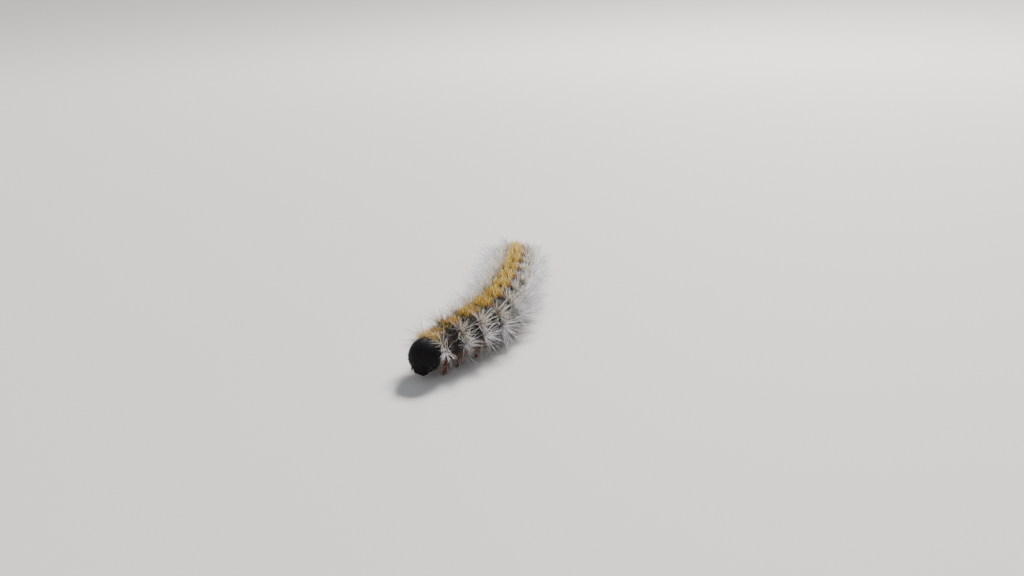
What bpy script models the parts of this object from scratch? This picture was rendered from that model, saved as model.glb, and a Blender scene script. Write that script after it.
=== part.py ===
"""Pine processionary moth larva, a still life-size model, for Blender 4.5.

Metres, +Z up. The larva walks on the floor at Z = 0 with its head towards -Y, and its left side is +X.
Shapes are worked out in body coordinates: how far left of the spine a point is, how far back it lies
from the face along the bent spine, and how high. to_world() then lays them along the spine.
"""

import math
import random

import bmesh
import bpy
from mathutils import Matrix, Vector

COLLECTION = "Pine processionary larva"
MM = 0.001
GAP = 0.3 * MM
UP = Vector((0.0, 0.0, 1.0))
SIDES = (("left", 1.0), ("right", -1.0))
SEED = 7

# The pose: how far back from the face in mm, and how many degrees the spine there is turned from +Y to +X.
HEADINGS = ((0.0, 22.0), (3.0, 30.0), (7.0, 42.0), (14.0, 25.5), (21.0, 13.0), (29.0, 7.0), (37.0, 3.0), (46.0, 1.0))
SPINE_STEP = 0.1 * MM
SPINE_END = 60 * MM
# Where the face stands in mm, which puts the origin under the middle of the whole model.
FACE_PLACE = (-7.659, -21.8)

# The head capsule, in mm.
HEAD_LENGTH = 2.9
HEAD_HALF_WIDTH = 2.1
HEAD_HALF_HEIGHT = 2.3
HEAD_HALF_DEPTH = 1.75
HEAD_CENTRE_HEIGHT = 3.1
HEAD_TILT_DEG = 16.0
HEAD_ROLL_DEG = 8.0
HEAD_COLUMNS = 24
HEAD_ROWS = 16
CHIN_NARROWING = 0.16
SUTURE_DEPTH = 0.17
SUTURE_HALF_WIDTH = 0.32
MOUTH_LEVEL = -1.8
OCELLUS_RADIUS = 0.2
# Each single eye of one side: degrees above the capsule's middle, and degrees round from the face.
OCELLI = ((-10, 62), (-21, 56), (-31, 54), (-40, 60), (-43, 70), (-27, 71))

# Mouthparts under the capsule, in mm in head coordinates: left, back and up of each ring, its half sizes.
MOUTH_TOP = MOUTH_LEVEL - GAP / MM
MOUTH_SIDES = 8
LABRUM_ROWS = (
    (0.0, -0.96, MOUTH_TOP, 0.60, 0.24),
    (0.0, -1.00, -2.30, 0.56, 0.24),
    (0.0, -1.00, -2.50, 0.40, 0.15),
)
MANDIBLE_ROWS = (
    (0.70, -0.12, MOUTH_TOP, 0.44, 0.30),
    (0.62, -0.26, -2.28, 0.36, 0.26),
    (0.44, -0.40, -2.46, 0.22, 0.16),
)
ANTENNA_ROWS = (
    (1.12, -0.80, MOUTH_TOP, 0.16, 0.16),
    (1.18, -0.90, -2.25, 0.13, 0.13),
    (1.24, -1.02, -2.40, 0.08, 0.08),
)
SPINNERET_ROWS = (
    (0.0, 0.58, MOUTH_TOP, 0.32, 0.24),
    (0.0, 0.54, -2.32, 0.24, 0.19),
    (0.0, 0.46, -2.52, 0.10, 0.10),
)

# Name, length, half width and half height of each segment, in mm, from the front to the back.
SEGMENTS = (
    ("prothorax", 2.3, 2.10, 2.20),
    ("mesothorax", 3.0, 2.40, 2.42),
    ("metathorax", 3.3, 2.55, 2.52),
    ("abdomen_1", 3.5, 2.62, 2.55),
    ("abdomen_2", 3.6, 2.66, 2.56),
    ("abdomen_3", 3.7, 2.68, 2.56),
    ("abdomen_4", 3.7, 2.68, 2.56),
    ("abdomen_5", 3.7, 2.68, 2.56),
    ("abdomen_6", 3.7, 2.66, 2.54),
    ("abdomen_7", 3.5, 2.58, 2.48),
    ("abdomen_8", 3.2, 2.38, 2.32),
    ("abdomen_9", 2.4, 2.05, 2.02),
    ("abdomen_10", 2.4, 1.60, 1.62),
)
NAMES = [row[0] for row in SEGMENTS]
NECK, RUMP = NAMES[0], NAMES[-1]
PROLEG_SEGMENTS = ("abdomen_3", "abdomen_4", "abdomen_5", "abdomen_6")
BELLY_HEIGHT = 0.85
BELLY_FLATNESS = 0.72
COLUMNS = 20
RINGS = (0.0, 0.17, 0.5, 0.83, 1.0)
FURROW_DEPTH = 0.13
NECK_SCALE = 0.80
RUMP_SCALES = (0.92, 0.99, 0.90, 0.62, 0.36)

# The warts that carry the hair, as angles round the body in degrees from the middle of the back.
BACK_WART = 18.0
SHOULDER_WART = 54.0
FLANK_WART = 90.0
FOOT_WART = 126.0
WART_HEIGHT = 0.32

# Each wart's tuft: locks on a full-length segment, their length and half width in mm, how many degrees
# they open up and down round the body, how far their roots stand apart along it in mm, how far their tips
# sink and how far they curl down round the body, as shares of the length.
TUFTS = {
    BACK_WART: (3, 2.0, 0.54, 22.0, 1.00, 0.00, 0.16),
    SHOULDER_WART: (3, 3.0, 0.54, 22.0, 0.90, 0.14, 0.10),
    FLANK_WART: (4, 4.4, 0.54, 27.0, 0.80, 0.10, -0.10),
    FOOT_WART: (2, 2.5, 0.56, 14.0, 0.80, 0.14, 0.00),
}
FULL_SEGMENT = 3.0
# Tufts on the back grow shorter towards the head.
BACK_TUFT_SHARE = {"prothorax": 0.55, "mesothorax": 0.72, "metathorax": 0.88}
LOCK_HALF_THICKNESS = 0.26
# Shares of a lock's length where its outline is set, and its width and thickness there.
LOCK_OUTLINE = ((0.0, 0.80, 1.0), (0.38, 1.0, 1.0), (0.72, 0.70, 0.85))
CURL_ALONG = 0.12
ROOT_DEPTH = 0.55
LEAN_BACK = 0.14
FAN_ALONG = 0.42
TIP_FLOOR = 0.45

FRINGE_HALF_WIDTH = 0.50
FRINGE_DROOP = 0.08
# The fringe over the head and round its sides: degrees round the body, length in mm, lean forwards.
NECK_FRINGE = (
    (-64, 2.2, 0.90),
    (-44, 2.0, 1.05),
    (-26, 1.9, 1.20),
    (-9, 2.0, 1.30),
    (9, 1.9, 1.30),
    (26, 2.0, 1.20),
    (44, 2.0, 1.05),
    (64, 2.2, 0.90),
)
# The fringe behind the last segment, in the same terms, leaning backwards.
RUMP_FRINGE = ((-76, 2.6, 0.9), (-46, 2.8, 1.2), (-16, 2.6, 1.4), (16, 2.8, 1.4), (46, 2.6, 1.2), (76, 2.8, 0.9))

# The legs: share of the height, half width, half depth, step out and step back of each ring, in mm.
PROLEG_SIDES = 8
PROLEG_ROWS = (
    (0.0, 0.55, 0.60, 0.10, 0.0),
    (0.14, 0.66, 0.70, 0.12, 0.0),
    (0.32, 0.58, 0.62, 0.06, 0.0),
    (0.60, 0.66, 0.70, 0.02, 0.0),
    (1.0, 0.80, 0.85, 0.0, 0.0),
)
TRUE_LEG_SIDES = 8
TRUE_LEG_ROWS = (
    (0.0, 0.20, 0.22, 0.50, -0.60),
    (0.20, 0.27, 0.29, 0.54, -0.46),
    (0.24, 0.34, 0.36, 0.54, -0.42),
    (0.48, 0.36, 0.38, 0.50, -0.26),
    (0.54, 0.45, 0.47, 0.46, -0.22),
    (0.78, 0.47, 0.49, 0.26, -0.10),
    (1.0, 0.55, 0.58, 0.0, 0.0),
)
# How far each pair of true legs reaches forwards, as a share of the rows' own reach.
STRIDES = {"prothorax": 1.5, "mesothorax": 1.2, "metathorax": 1.0}
TRUE_LEG_ACROSS = 0.95
PROLEG_ACROSS = 1.15
CLASPER_ACROSS = 0.66
CLASPER_ALONG = 0.34
CLASPER_SIZE = 0.62


def smooth_value(table, place):
    """The value at a place, on a cubic curve through the table's (place, value) rows."""
    places = [row[0] for row in table]
    if place <= places[0]:
        return table[0][1]
    if place >= places[-1]:
        return table[-1][1]
    i = max(k for k in range(len(table) - 1) if places[k] <= place)

    def slope(k):
        low, high = max(k - 1, 0), min(k + 1, len(table) - 1)
        return (table[high][1] - table[low][1]) / (places[high] - places[low])

    span = places[i + 1] - places[i]
    t = (place - places[i]) / span
    return (
        (2 * t**3 - 3 * t**2 + 1) * table[i][1]
        + (t**3 - 2 * t**2 + t) * span * slope(i)
        + (3 * t**2 - 2 * t**3) * table[i + 1][1]
        + (t**3 - t**2) * span * slope(i + 1)
    )


def heading_at(distance):
    """The spine's turn from +Y towards +X, in radians."""
    return math.radians(smooth_value(HEADINGS, distance / MM))


def trace_spine():
    """Points of the spine on the floor, one SPINE_STEP apart, from the face to past the tail."""
    points = [Vector((*FACE_PLACE, 0.0)) * MM]
    for step in range(round(SPINE_END / SPINE_STEP)):
        turn = heading_at((step + 0.5) * SPINE_STEP)
        points.append(points[-1] + SPINE_STEP * Vector((math.sin(turn), math.cos(turn), 0.0)))
    return points


SPINE = trace_spine()


def spine_frame(distance):
    """The spine's point on the floor, and its backward and left directions, at a distance behind the face."""
    turn = heading_at(distance)
    back = Vector((math.sin(turn), math.cos(turn), 0.0))
    left = Vector((math.cos(turn), -math.sin(turn), 0.0))
    step = max(0, min(len(SPINE) - 2, int(distance / SPINE_STEP)))
    return SPINE[step] + back * (distance - step * SPINE_STEP), back, left


def to_world(point):
    """Lays a point of body coordinates (left, back along the spine, up) along the bent spine."""
    foot, _, left = spine_frame(point.y)
    return foot + left * point.x + UP * point.z


def segment_spans():
    """Where each segment starts and ends behind the face, with half a gap left at both ends."""
    start, spans = HEAD_LENGTH * MM, {}
    for name, length, _, _ in SEGMENTS:
        spans[name] = (start + GAP / 2, start + length * MM - GAP / 2)
        start += length * MM
    return spans


SPANS = segment_spans()
MIDDLES = [sum(SPANS[name]) / 2 / MM for name in NAMES]
HALF_WIDTHS = list(zip(MIDDLES, [row[2] for row in SEGMENTS]))
HALF_HEIGHTS = list(zip(MIDDLES, [row[3] for row in SEGMENTS]))


def ring_scale(name, along):
    """How far a ring shrinks towards the furrows in front of and behind its segment. along runs from 0 to 1."""
    if name == RUMP:
        return smooth_value(list(zip(RINGS, RUMP_SCALES)), along)
    furrow = 1 - FURROW_DEPTH * abs(2 * along - 1) ** 3
    if name == NECK and along < 0.5:
        return furrow * (NECK_SCALE + (1 - NECK_SCALE) * math.sin(math.pi * along))
    return furrow


def skin_place(name, along, angle_deg):
    """A point on a segment's skin and the direction straight out of it, in body coordinates."""
    first, last = SPANS[name]
    distance = first + along * (last - first)
    wide = smooth_value(HALF_WIDTHS, distance / MM) * MM
    high = smooth_value(HALF_HEIGHTS, distance / MM) * MM
    scale = ring_scale(name, along)
    angle = math.radians(angle_deg)
    rise = math.cos(angle)
    if rise < 0:
        rise = -abs(rise) ** BELLY_FLATNESS
    point = Vector((math.sin(angle) * wide * scale, distance, BELLY_HEIGHT * MM + high * (1 + rise * scale)))
    return point, Vector((math.sin(angle) / wide, 0.0, math.cos(angle) / high)).normalized()


def finish_material(name, colour, roughness):
    """A plain Principled material."""
    made = bpy.data.materials.new(name)
    made.use_nodes = True
    shader = made.node_tree.nodes["Principled BSDF"]
    shader.inputs["Base Color"].default_value = (*colour, 1.0)
    shader.inputs["Roughness"].default_value = roughness
    return made


def new_object(name, mesh, material=None):
    """An object that holds the bmesh, linked to the larva's collection."""
    bmesh.ops.recalc_face_normals(mesh, faces=mesh.faces[:])
    data = bpy.data.meshes.new(name)
    mesh.to_mesh(data)
    mesh.free()
    if material:
        data.materials.append(material)
    made = bpy.data.objects.new(name, data)
    bpy.data.collections[COLLECTION].objects.link(made)
    return made


def loft(rings):
    """A closed bmesh through rings of points, capped at both ends, or drawn to a last ring of one point."""
    mesh = bmesh.new()
    made = [[mesh.verts.new(point) for point in ring] for ring in rings]
    for front, rear in zip(made, made[1:]):
        for k, vertex in enumerate(front):
            following = front[(k + 1) % len(front)]
            if len(rear) == 1:
                mesh.faces.new((vertex, following, rear[0]))
            else:
                mesh.faces.new((vertex, following, rear[(k + 1) % len(rear)], rear[k]))
    mesh.faces.new(reversed(made[0]))
    if len(made[-1]) > 1:
        mesh.faces.new(made[-1])
    return mesh


def keep_largest_surface(made):
    """Drops every closed surface of a fused mesh but the one with most faces, which fills sealed hollows."""
    mesh = bmesh.new()
    mesh.from_mesh(made.data)
    mesh.faces.ensure_lookup_table()
    seen = [False] * len(mesh.faces)
    surfaces = []
    for start in mesh.faces:
        if seen[start.index]:
            continue
        seen[start.index] = True
        surface, front = [], [start]
        while front:
            face = front.pop()
            surface.append(face)
            for other in [linked for edge in face.edges for linked in edge.link_faces]:
                if not seen[other.index]:
                    seen[other.index] = True
                    front.append(other)
        surfaces.append(surface)
    surfaces.sort(key=len)
    loose = [face for surface in surfaces[:-1] for face in surface]
    bmesh.ops.delete(mesh, geom=loose, context="FACES")
    mesh.to_mesh(made.data)
    mesh.free()


def fuse(made, pieces):
    """Joins pieces to made by one Boolean union, and removes them."""
    group = bpy.data.collections.new("Pieces to fuse")
    bpy.context.scene.collection.children.link(group)
    for piece in pieces:
        bpy.data.collections[COLLECTION].objects.unlink(piece)
        group.objects.link(piece)
    union = made.modifiers.new("Fuse", "BOOLEAN")
    union.operation = "UNION"
    union.operand_type = "COLLECTION"
    union.collection = group
    union.solver = "MANIFOLD"
    bpy.context.view_layer.update()
    joined = bpy.data.meshes.new_from_object(made.evaluated_get(bpy.context.evaluated_depsgraph_get()))
    made.modifiers.clear()
    made.data = joined
    for piece in pieces:
        bpy.data.objects.remove(piece)
    bpy.data.collections.remove(group)
    keep_largest_surface(made)


def segment_body(name, material):
    """One segment without hair: rings across the spine, swollen between two furrows, with a wart at each tuft."""
    warts = [sign * angle for angle in TUFTS for _, sign in SIDES]
    rings = []
    for along in RINGS:
        ring = []
        for column in range(COLUMNS):
            angle = 360.0 * column / COLUMNS - 180.0
            place, normal = skin_place(name, along, angle)
            raised = WART_HEIGHT * MM if along == 0.5 and angle in warts else 0.0
            ring.append(to_world(place + normal * raised))
        rings.append(ring)
    return new_object(name, loft(rings), material)


def lock(root, aim, length, half_width, wide, bend):
    """A flat tapered lock from a root under the skin, along aim and bent by bend at its tip, in body coordinates."""
    rings = []
    for t, width_share, thickness_share in LOCK_OUTLINE:
        centre = root + aim * length * t + bend * t * t
        along = (aim * length + 2 * t * bend).normalized()
        across = (wide - along * wide.dot(along)).normalized() * half_width * width_share
        thick = along.cross(across).normalized() * LOCK_HALF_THICKNESS * MM * thickness_share
        rings.append([to_world(centre + side) for side in (across, thick, -across, -thick)])
    rings.append([to_world(root + aim * length + bend)])
    return new_object("lock", loft(rings))


def tuft(name, angle_deg, chance):
    """The locks of one wart, fanned along the body and opened round it, each inside its own segment's length."""
    count, length, half_width, opening, spread, droop, curl = TUFTS[abs(angle_deg)]
    first, last = SPANS[name]
    share = min(1.0, (last - first) / (FULL_SEGMENT * MM))
    count = count if share == 1.0 else max(2, count - 1)
    if abs(angle_deg) == BACK_WART:
        length *= BACK_TUFT_SHARE.get(name, 1.0)
    side = math.copysign(1.0, angle_deg)
    made = []
    for k in range(count):
        fan = 2 * k / (count - 1) - 1
        turned = angle_deg + side * chance.uniform(-3.0, 3.0)
        place, normal = skin_place(name, 0.5, turned)
        down = Vector((normal.z, 0.0, -normal.x)) * side
        reach = (length * (0.72 + 0.28 * share) * chance.uniform(0.9, 1.08) + ROOT_DEPTH) * MM
        width = half_width * chance.uniform(0.9, 1.1) * MM
        open_by = math.radians(opening) * (1 if k % 2 else -1) * chance.uniform(0.7, 1.2)
        start = place - normal * ROOT_DEPTH * MM
        start.y += fan * spread * share * MM
        bend = (down * curl - UP * droop) * reach
        bend.y = chance.uniform(-CURL_ALONG, CURL_ALONG) * reach
        lean = FAN_ALONG * fan + LEAN_BACK
        slack = [(edge - start.y - bend.y) / reach for edge in (first + width, last - width)]
        flat = (normal + down * math.tan(open_by)).normalized()
        lean = max(slack[0], min(slack[1], lean / math.sqrt(1 + lean * lean)))
        aim = flat * math.sqrt(1 - lean * lean) + Vector((0.0, lean, 0.0))
        tip_height = start.z + aim.z * reach + bend.z
        bend.z += max(0.0, TIP_FLOOR * MM - tip_height)
        wide = Vector((0.0, 1.0, 0.0)) + down * chance.uniform(-0.35, 0.35)
        made.append(lock(start, aim, reach, width, wide, bend))
    return made


def fringe(name, along, rows, way, chance):
    """Locks that reach past a segment's end, forwards where way is -1 and backwards where it is 1."""
    made = []
    for angle, length, lean in rows:
        place, normal = skin_place(name, along, angle)
        start = place - normal * ROOT_DEPTH * MM
        aim = (normal + Vector((0.0, way * lean, 0.0))).normalized()
        reach = (length * chance.uniform(0.94, 1.06) + ROOT_DEPTH) * MM
        wide = Vector((normal.z, 0.0, -normal.x))
        bend = Vector((0.0, way, -FRINGE_DROOP)) * FRINGE_DROOP * reach
        made.append(lock(start, aim, reach, FRINGE_HALF_WIDTH * MM, wide, bend))
    return made


def build_segment(name, material, chance):
    """A segment with the locks of its eight warts, and a fringe on the first and the last."""
    made = segment_body(name, material)
    angles = [angle for angle in TUFTS if name != RUMP or angle in (BACK_WART, FLANK_WART)]
    locks = []
    for angle in angles:
        for _, sign in SIDES:
            locks += tuft(name, sign * angle, chance)
    if name == NECK:
        locks += fringe(name, 0.30, NECK_FRINGE, -1.0, chance)
    if name == RUMP:
        locks += fringe(name, 0.72, RUMP_FRINGE, 1.0, chance)
    fuse(made, locks)


def head_matrix():
    """Places head coordinates, with X to the left, Y back and Z up from the capsule's middle, rolled and tilted."""
    foot, back, left = spine_frame(HEAD_LENGTH * MM / 2)
    turn = Matrix((left, back, UP)).transposed().to_4x4()
    roll = Matrix.Rotation(math.radians(HEAD_ROLL_DEG), 4, "Y")
    tilt = Matrix.Rotation(math.radians(-HEAD_TILT_DEG), 4, "X")
    return Matrix.Translation(foot + UP * HEAD_CENTRE_HEIGHT * MM) @ turn @ roll @ tilt


def capsule_point(direction):
    """A point on the head capsule along a unit direction: two rounded lobes, a groove between, cut at the mouth."""
    wide, deep, high = HEAD_HALF_WIDTH * MM, HEAD_HALF_DEPTH * MM, HEAD_HALF_HEIGHT * MM
    narrowing = 1 - CHIN_NARROWING * max(0.0, -direction.z) ** 2
    point = Vector((direction.x * wide * narrowing, direction.y * deep, direction.z * high))
    groove = SUTURE_DEPTH * MM * math.exp(-((point.x / (SUTURE_HALF_WIDTH * MM)) ** 2))
    front_and_top = max(0.0, min(1.0, 0.6 - 0.8 * direction.y + 0.5 * direction.z))
    point *= 1 - groove * front_and_top / point.length
    point.z = max(point.z, MOUTH_LEVEL * MM)
    return point


def build_head(material):
    """The head capsule, flat where the neck meets it, with a dome for each of its twelve single eyes."""
    mesh = bmesh.new()
    bmesh.ops.create_uvsphere(mesh, u_segments=HEAD_COLUMNS, v_segments=HEAD_ROWS, radius=1.0)
    place = head_matrix()
    foot, back, _ = spine_frame(HEAD_LENGTH * MM - GAP / 2)
    for vertex in mesh.verts:
        point = place @ capsule_point(vertex.co.normalized())
        vertex.co = point - back * max(0.0, (point - foot).dot(back))
    made = new_object("head", mesh, material)
    eyes = []
    for _, sign in SIDES:
        for lift_deg, turn_deg in OCELLI:
            lift, turn = math.radians(lift_deg), math.radians(turn_deg)
            aim = Vector((sign * math.sin(turn) * math.cos(lift), -math.cos(turn) * math.cos(lift), math.sin(lift)))
            dome = bmesh.new()
            bmesh.ops.create_uvsphere(dome, u_segments=6, v_segments=4, radius=OCELLUS_RADIUS * MM)
            bmesh.ops.translate(dome, verts=dome.verts, vec=place @ capsule_point(aim))
            eyes.append(new_object("eye", dome))
    fuse(made, eyes)


def mouthpart(name, rows, sign, material):
    """One piece under the head, lofted through level rings in head coordinates."""
    place = head_matrix()
    rings = []
    for aside, back, up, half_across, half_deep in rows:
        ring = []
        for k in range(MOUTH_SIDES):
            turn = 2 * math.pi * k / MOUTH_SIDES
            across = sign * aside + half_across * math.cos(turn)
            ring.append(place @ (Vector((across, back + half_deep * math.sin(turn), up)) * MM))
        rings.append(ring)
    new_object(name, loft(rings), material)


def build_mouth(material):
    """The upper lip, the silk spinneret, and a jaw and a feeler on each side."""
    mouthpart("labrum", LABRUM_ROWS, 1.0, material)
    mouthpart("spinneret", SPINNERET_ROWS, 1.0, material)
    for side, sign in SIDES:
        mouthpart(f"mandible_{side}", MANDIBLE_ROWS, sign, material)
        mouthpart(f"antenna_{side}", ANTENNA_ROWS, sign, material)


def underside_height(name, along, across):
    """The height of a segment's skin at a place left of the spine, below its widest line."""
    low, high = 95.0, 179.9
    for _ in range(30):
        angle = (low + high) / 2
        low, high = (angle, high) if skin_place(name, along, angle)[0].x > abs(across) else (low, angle)
    return skin_place(name, along, angle)[0].z


def limb(object_name, segment, along, across, rows, sides, material, size=1.0, stride=1.0):
    """A leg from the floor up to a gap under its segment, lofted through level rings."""
    first, last = SPANS[segment]
    middle = first + along * (last - first)
    sign = math.copysign(1.0, across)
    rings = []
    for share, half_width, half_depth, out, behind in rows:
        ring = []
        for k in range(sides):
            turn = 2 * math.pi * k / sides
            aside = (across + (sign * out + half_width * math.cos(turn)) * size) * MM
            rear = (behind * stride + half_depth * math.sin(turn)) * size * MM
            where = max(0.0, min(1.0, along + rear / (last - first)))
            top = underside_height(segment, where, aside) - GAP
            ring.append(to_world(Vector((aside, middle + rear, top * share))))
        rings.append(ring)
    new_object(object_name, loft(rings), material)


def build_legs(leg_material, proleg_material):
    """Three pairs of true legs, four pairs of prolegs and the pair of claspers."""
    for side, sign in SIDES:
        for name in STRIDES:
            limb(
                f"leg_{name}_{side}", name, 0.5, sign * TRUE_LEG_ACROSS, TRUE_LEG_ROWS, TRUE_LEG_SIDES, leg_material,
                stride=STRIDES[name],
            )
        for name in PROLEG_SEGMENTS:
            across = sign * PROLEG_ACROSS
            limb(f"proleg_{name}_{side}", name, 0.5, across, PROLEG_ROWS, PROLEG_SIDES, proleg_material)
        across = sign * CLASPER_ACROSS
        limb(
            f"clasper_{side}", RUMP, CLASPER_ALONG, across, PROLEG_ROWS, PROLEG_SIDES, proleg_material, CLASPER_SIZE
        )


def main():
    for old in list(bpy.data.objects):
        bpy.data.objects.remove(old)
    group = bpy.data.collections.new(COLLECTION)
    bpy.context.scene.collection.children.link(group)
    hair = finish_material("Hair and skin", (0.52, 0.46, 0.36), 0.8)
    shell = finish_material("Head capsule", (0.02, 0.02, 0.022), 0.35)
    amber = finish_material("Leg", (0.20, 0.06, 0.03), 0.5)
    flesh = finish_material("Proleg", (0.28, 0.14, 0.09), 0.6)
    chance = random.Random(SEED)
    build_head(shell)
    build_mouth(amber)
    for name in NAMES:
        build_segment(name, hair, chance)
    build_legs(amber, flesh)


main()
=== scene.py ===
import math
from collections import namedtuple

import bpy
import numpy as np
from bpy.props import FloatProperty, FloatVectorProperty, IntProperty, PointerProperty
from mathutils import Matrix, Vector


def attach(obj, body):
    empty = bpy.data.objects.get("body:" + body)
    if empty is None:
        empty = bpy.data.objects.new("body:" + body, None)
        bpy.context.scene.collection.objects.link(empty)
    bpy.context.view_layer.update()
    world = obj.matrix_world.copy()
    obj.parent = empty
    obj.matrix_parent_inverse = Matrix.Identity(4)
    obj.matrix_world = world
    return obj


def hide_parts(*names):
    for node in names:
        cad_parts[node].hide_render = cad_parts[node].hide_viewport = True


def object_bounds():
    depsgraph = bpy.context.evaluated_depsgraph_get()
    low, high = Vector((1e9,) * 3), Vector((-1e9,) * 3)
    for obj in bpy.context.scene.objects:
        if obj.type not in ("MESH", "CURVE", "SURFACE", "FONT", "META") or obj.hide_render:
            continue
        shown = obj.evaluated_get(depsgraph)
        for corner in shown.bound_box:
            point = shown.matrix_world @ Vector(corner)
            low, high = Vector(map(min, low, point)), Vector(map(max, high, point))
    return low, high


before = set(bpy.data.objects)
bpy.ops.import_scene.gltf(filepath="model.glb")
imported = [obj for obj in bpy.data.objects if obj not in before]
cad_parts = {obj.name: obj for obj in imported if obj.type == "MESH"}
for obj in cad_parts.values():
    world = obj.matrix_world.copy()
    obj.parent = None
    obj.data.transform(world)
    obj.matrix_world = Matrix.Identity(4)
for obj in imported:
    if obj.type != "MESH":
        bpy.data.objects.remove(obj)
CAD_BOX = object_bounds()

bl_info = {
    "name": "Pine Processionary Larva",
    "version": (1, 0, 0),
    "blender": (4, 5, 0),
    "location": "View3D > Sidebar > Larva",
    "description": "A life-size pine processionary moth larva, with its skin, head, legs and coat of hair",
    "category": "Add Mesh",
}

# Body coordinates are in mm: x left of the spine, s back from the face along it, z above the floor.
# Angles round the body are in degrees from the middle of the back, positive on the left.
MM = 0.001
SIDES = (("left", 1.0), ("right", -1.0))
UP = np.array((0.0, 0.0, 1.0))
ALONG = np.array((0.0, 1.0, 0.0))

# The pose: how far back from the face in mm, and how many degrees the spine there is turned from +Y to +X.
HEADINGS = np.array(
    ((0.0, 22.0), (3.0, 30.0), (7.0, 42.0), (14.0, 25.5), (21.0, 13.0), (29.0, 7.0), (37.0, 3.0), (46.0, 1.0))
)
FACE_PLACE = (-7.659, -21.8)
SPINE_STEP = 0.1
SPINE_END = 60.0

# The head capsule, in mm.
HEAD_LENGTH = 2.9
HEAD_HALF_SIZES = np.array((2.1, 1.75, 2.3))
HEAD_CENTRE_HEIGHT = 3.1
HEAD_TILT_DEG = 16.0
HEAD_ROLL_DEG = 8.0
HEAD_BACK = 2.75
CHIN_NARROWING = 0.30
MOUTH_LEVEL = -2.2
# The plate above the mouth: where its slanted edges meet, how they slant, and its lower edge.
BROW_HEIGHT = 0.35
PLATE_SLANT = 0.66
PLATE_BOTTOM = -1.45
# The shell's relief: the groove between its lobes, its seam, plate, lip, cheeks and grain.
GROOVE_DEPTH, SEAM_DEPTH, PLATE_DEPTH = 0.13, 0.055, 0.06
LIP_HEIGHT, CHEEK_HEIGHT, GRAIN_HEIGHT = 0.07, 0.05, 0.008
# Each single eye of one side: degrees above the capsule's middle, and degrees round from the face.
STEMMATA = ((-10, 62), (-21, 56), (-31, 54), (-40, 60), (-43, 70), (-27, 71))

# Name, length, half width and half height of each segment, in mm, from the front to the back.
SEGMENTS = (
    ("prothorax", 2.3, 2.10, 2.20),
    ("mesothorax", 3.0, 2.40, 2.42),
    ("metathorax", 3.3, 2.55, 2.52),
    ("abdomen_1", 3.5, 2.62, 2.55),
    ("abdomen_2", 3.6, 2.66, 2.56),
    ("abdomen_3", 3.7, 2.68, 2.56),
    ("abdomen_4", 3.7, 2.68, 2.56),
    ("abdomen_5", 3.7, 2.68, 2.56),
    ("abdomen_6", 3.7, 2.66, 2.54),
    ("abdomen_7", 3.5, 2.58, 2.48),
    ("abdomen_8", 3.2, 2.38, 2.32),
    ("abdomen_9", 2.4, 2.05, 2.02),
    ("abdomen_10", 2.4, 1.60, 1.62),
)
NAMES = [row[0] for row in SEGMENTS]
LENGTHS = np.array([row[1] for row in SEGMENTS])
ENDS = HEAD_LENGTH + np.cumsum(LENGTHS)
STARTS = ENDS - LENGTHS
MIDDLES = (STARTS + ENDS) / 2
BODY_END = ENDS[-1]
HALF_WIDTHS = np.stack([MIDDLES, [row[2] for row in SEGMENTS]], 1)
HALF_HEIGHTS = np.stack([MIDDLES, [row[3] for row in SEGMENTS]], 1)
RUMP = len(SEGMENTS) - 1
THORAX = ("prothorax", "mesothorax", "metathorax")
PROLEG_SEGMENTS = ("abdomen_3", "abdomen_4", "abdomen_5", "abdomen_6")
SPIRACLE_SEGMENTS = (0, 3, 4, 5, 6, 7, 8, 9, 10)
MIRROR_SEGMENTS = tuple(range(3, 11))

# The skin lies a little inside the solids. Heights and depths are in mm.
SKIN_SHARE = 0.985
BELLY_HEIGHT = 0.85
BELLY_FLATNESS = 0.72
BELLY_ROUNDING = 0.006
FURROW_DEPTH = 0.13
NECK_POLE = 2.15
NECK_SHARE = 0.64
RUMP_SHARES = np.array(
    ((0.0, 0.87), (0.17, 0.96), (0.5, 0.90), (0.83, 0.62), (0.93, 0.45), (0.98, 0.26), (1.0, 0.0))
)
# The four rings of warts on each side, in degrees from the middle of the back.
BACK_WART, SHOULDER_WART, FLANK_WART, FOOT_WART = 18.0, 54.0, 90.0, 126.0
WART_SPACING = 36.0
SPIRACLE_ANGLE = 103.0

SKIN_ROWS = 430
SKIN_COLUMNS = 210
PROLEG_ACROSS = 1.15
PROLEG_REACH = 1.05
CLASPER_ACROSS = 0.66
CLASPER_ALONG = 0.34
CLASPER_REACH = 0.65
# A foot drawn down out of the belly: share of its reach on the belly, share of it in the foot, how far down.
FOOT_PROFILE = np.array(
    (
        (0.00, 0.00, 0.985),
        (0.12, 0.22, 0.985),
        (0.28, 0.46, 1.00),
        (0.38, 0.57, 0.97),
        (0.46, 0.61, 0.86),
        (0.56, 0.58, 0.68),
        (0.66, 0.61, 0.46),
        (0.76, 0.70, 0.24),
        (0.88, 0.84, 0.07),
        (1.00, 1.00, 0.0),
    )
)
SOLE_HEIGHT = 0.03
# The skin's relief in mm: creases across a segment, the fold low on the flank and the groove over it, the rims and
# hollows of the breathing holes, the plates of the back and the wrinkles.
CREASE_DEPTH, FOLD_HEIGHT, FOLD_GROOVE, RIM_HEIGHT = 0.050, 0.13, 0.07, 0.045
HOLE_DEPTH, MIRROR_DEPTH, WRINKLE_HEIGHT = 0.05, 0.05, 0.010
FOLD_ANGLE, FOLD_GROOVE_ANGLE = 112.0, 101.0

# How far each wart stands behind the middle of its segment, in mm, by segment and by ring from the back down.
WART_SHIFTS = np.zeros((len(SEGMENTS), 4))
WART_SHIFTS[0] = (0.0, -0.65, -0.55, 0.0)

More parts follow.
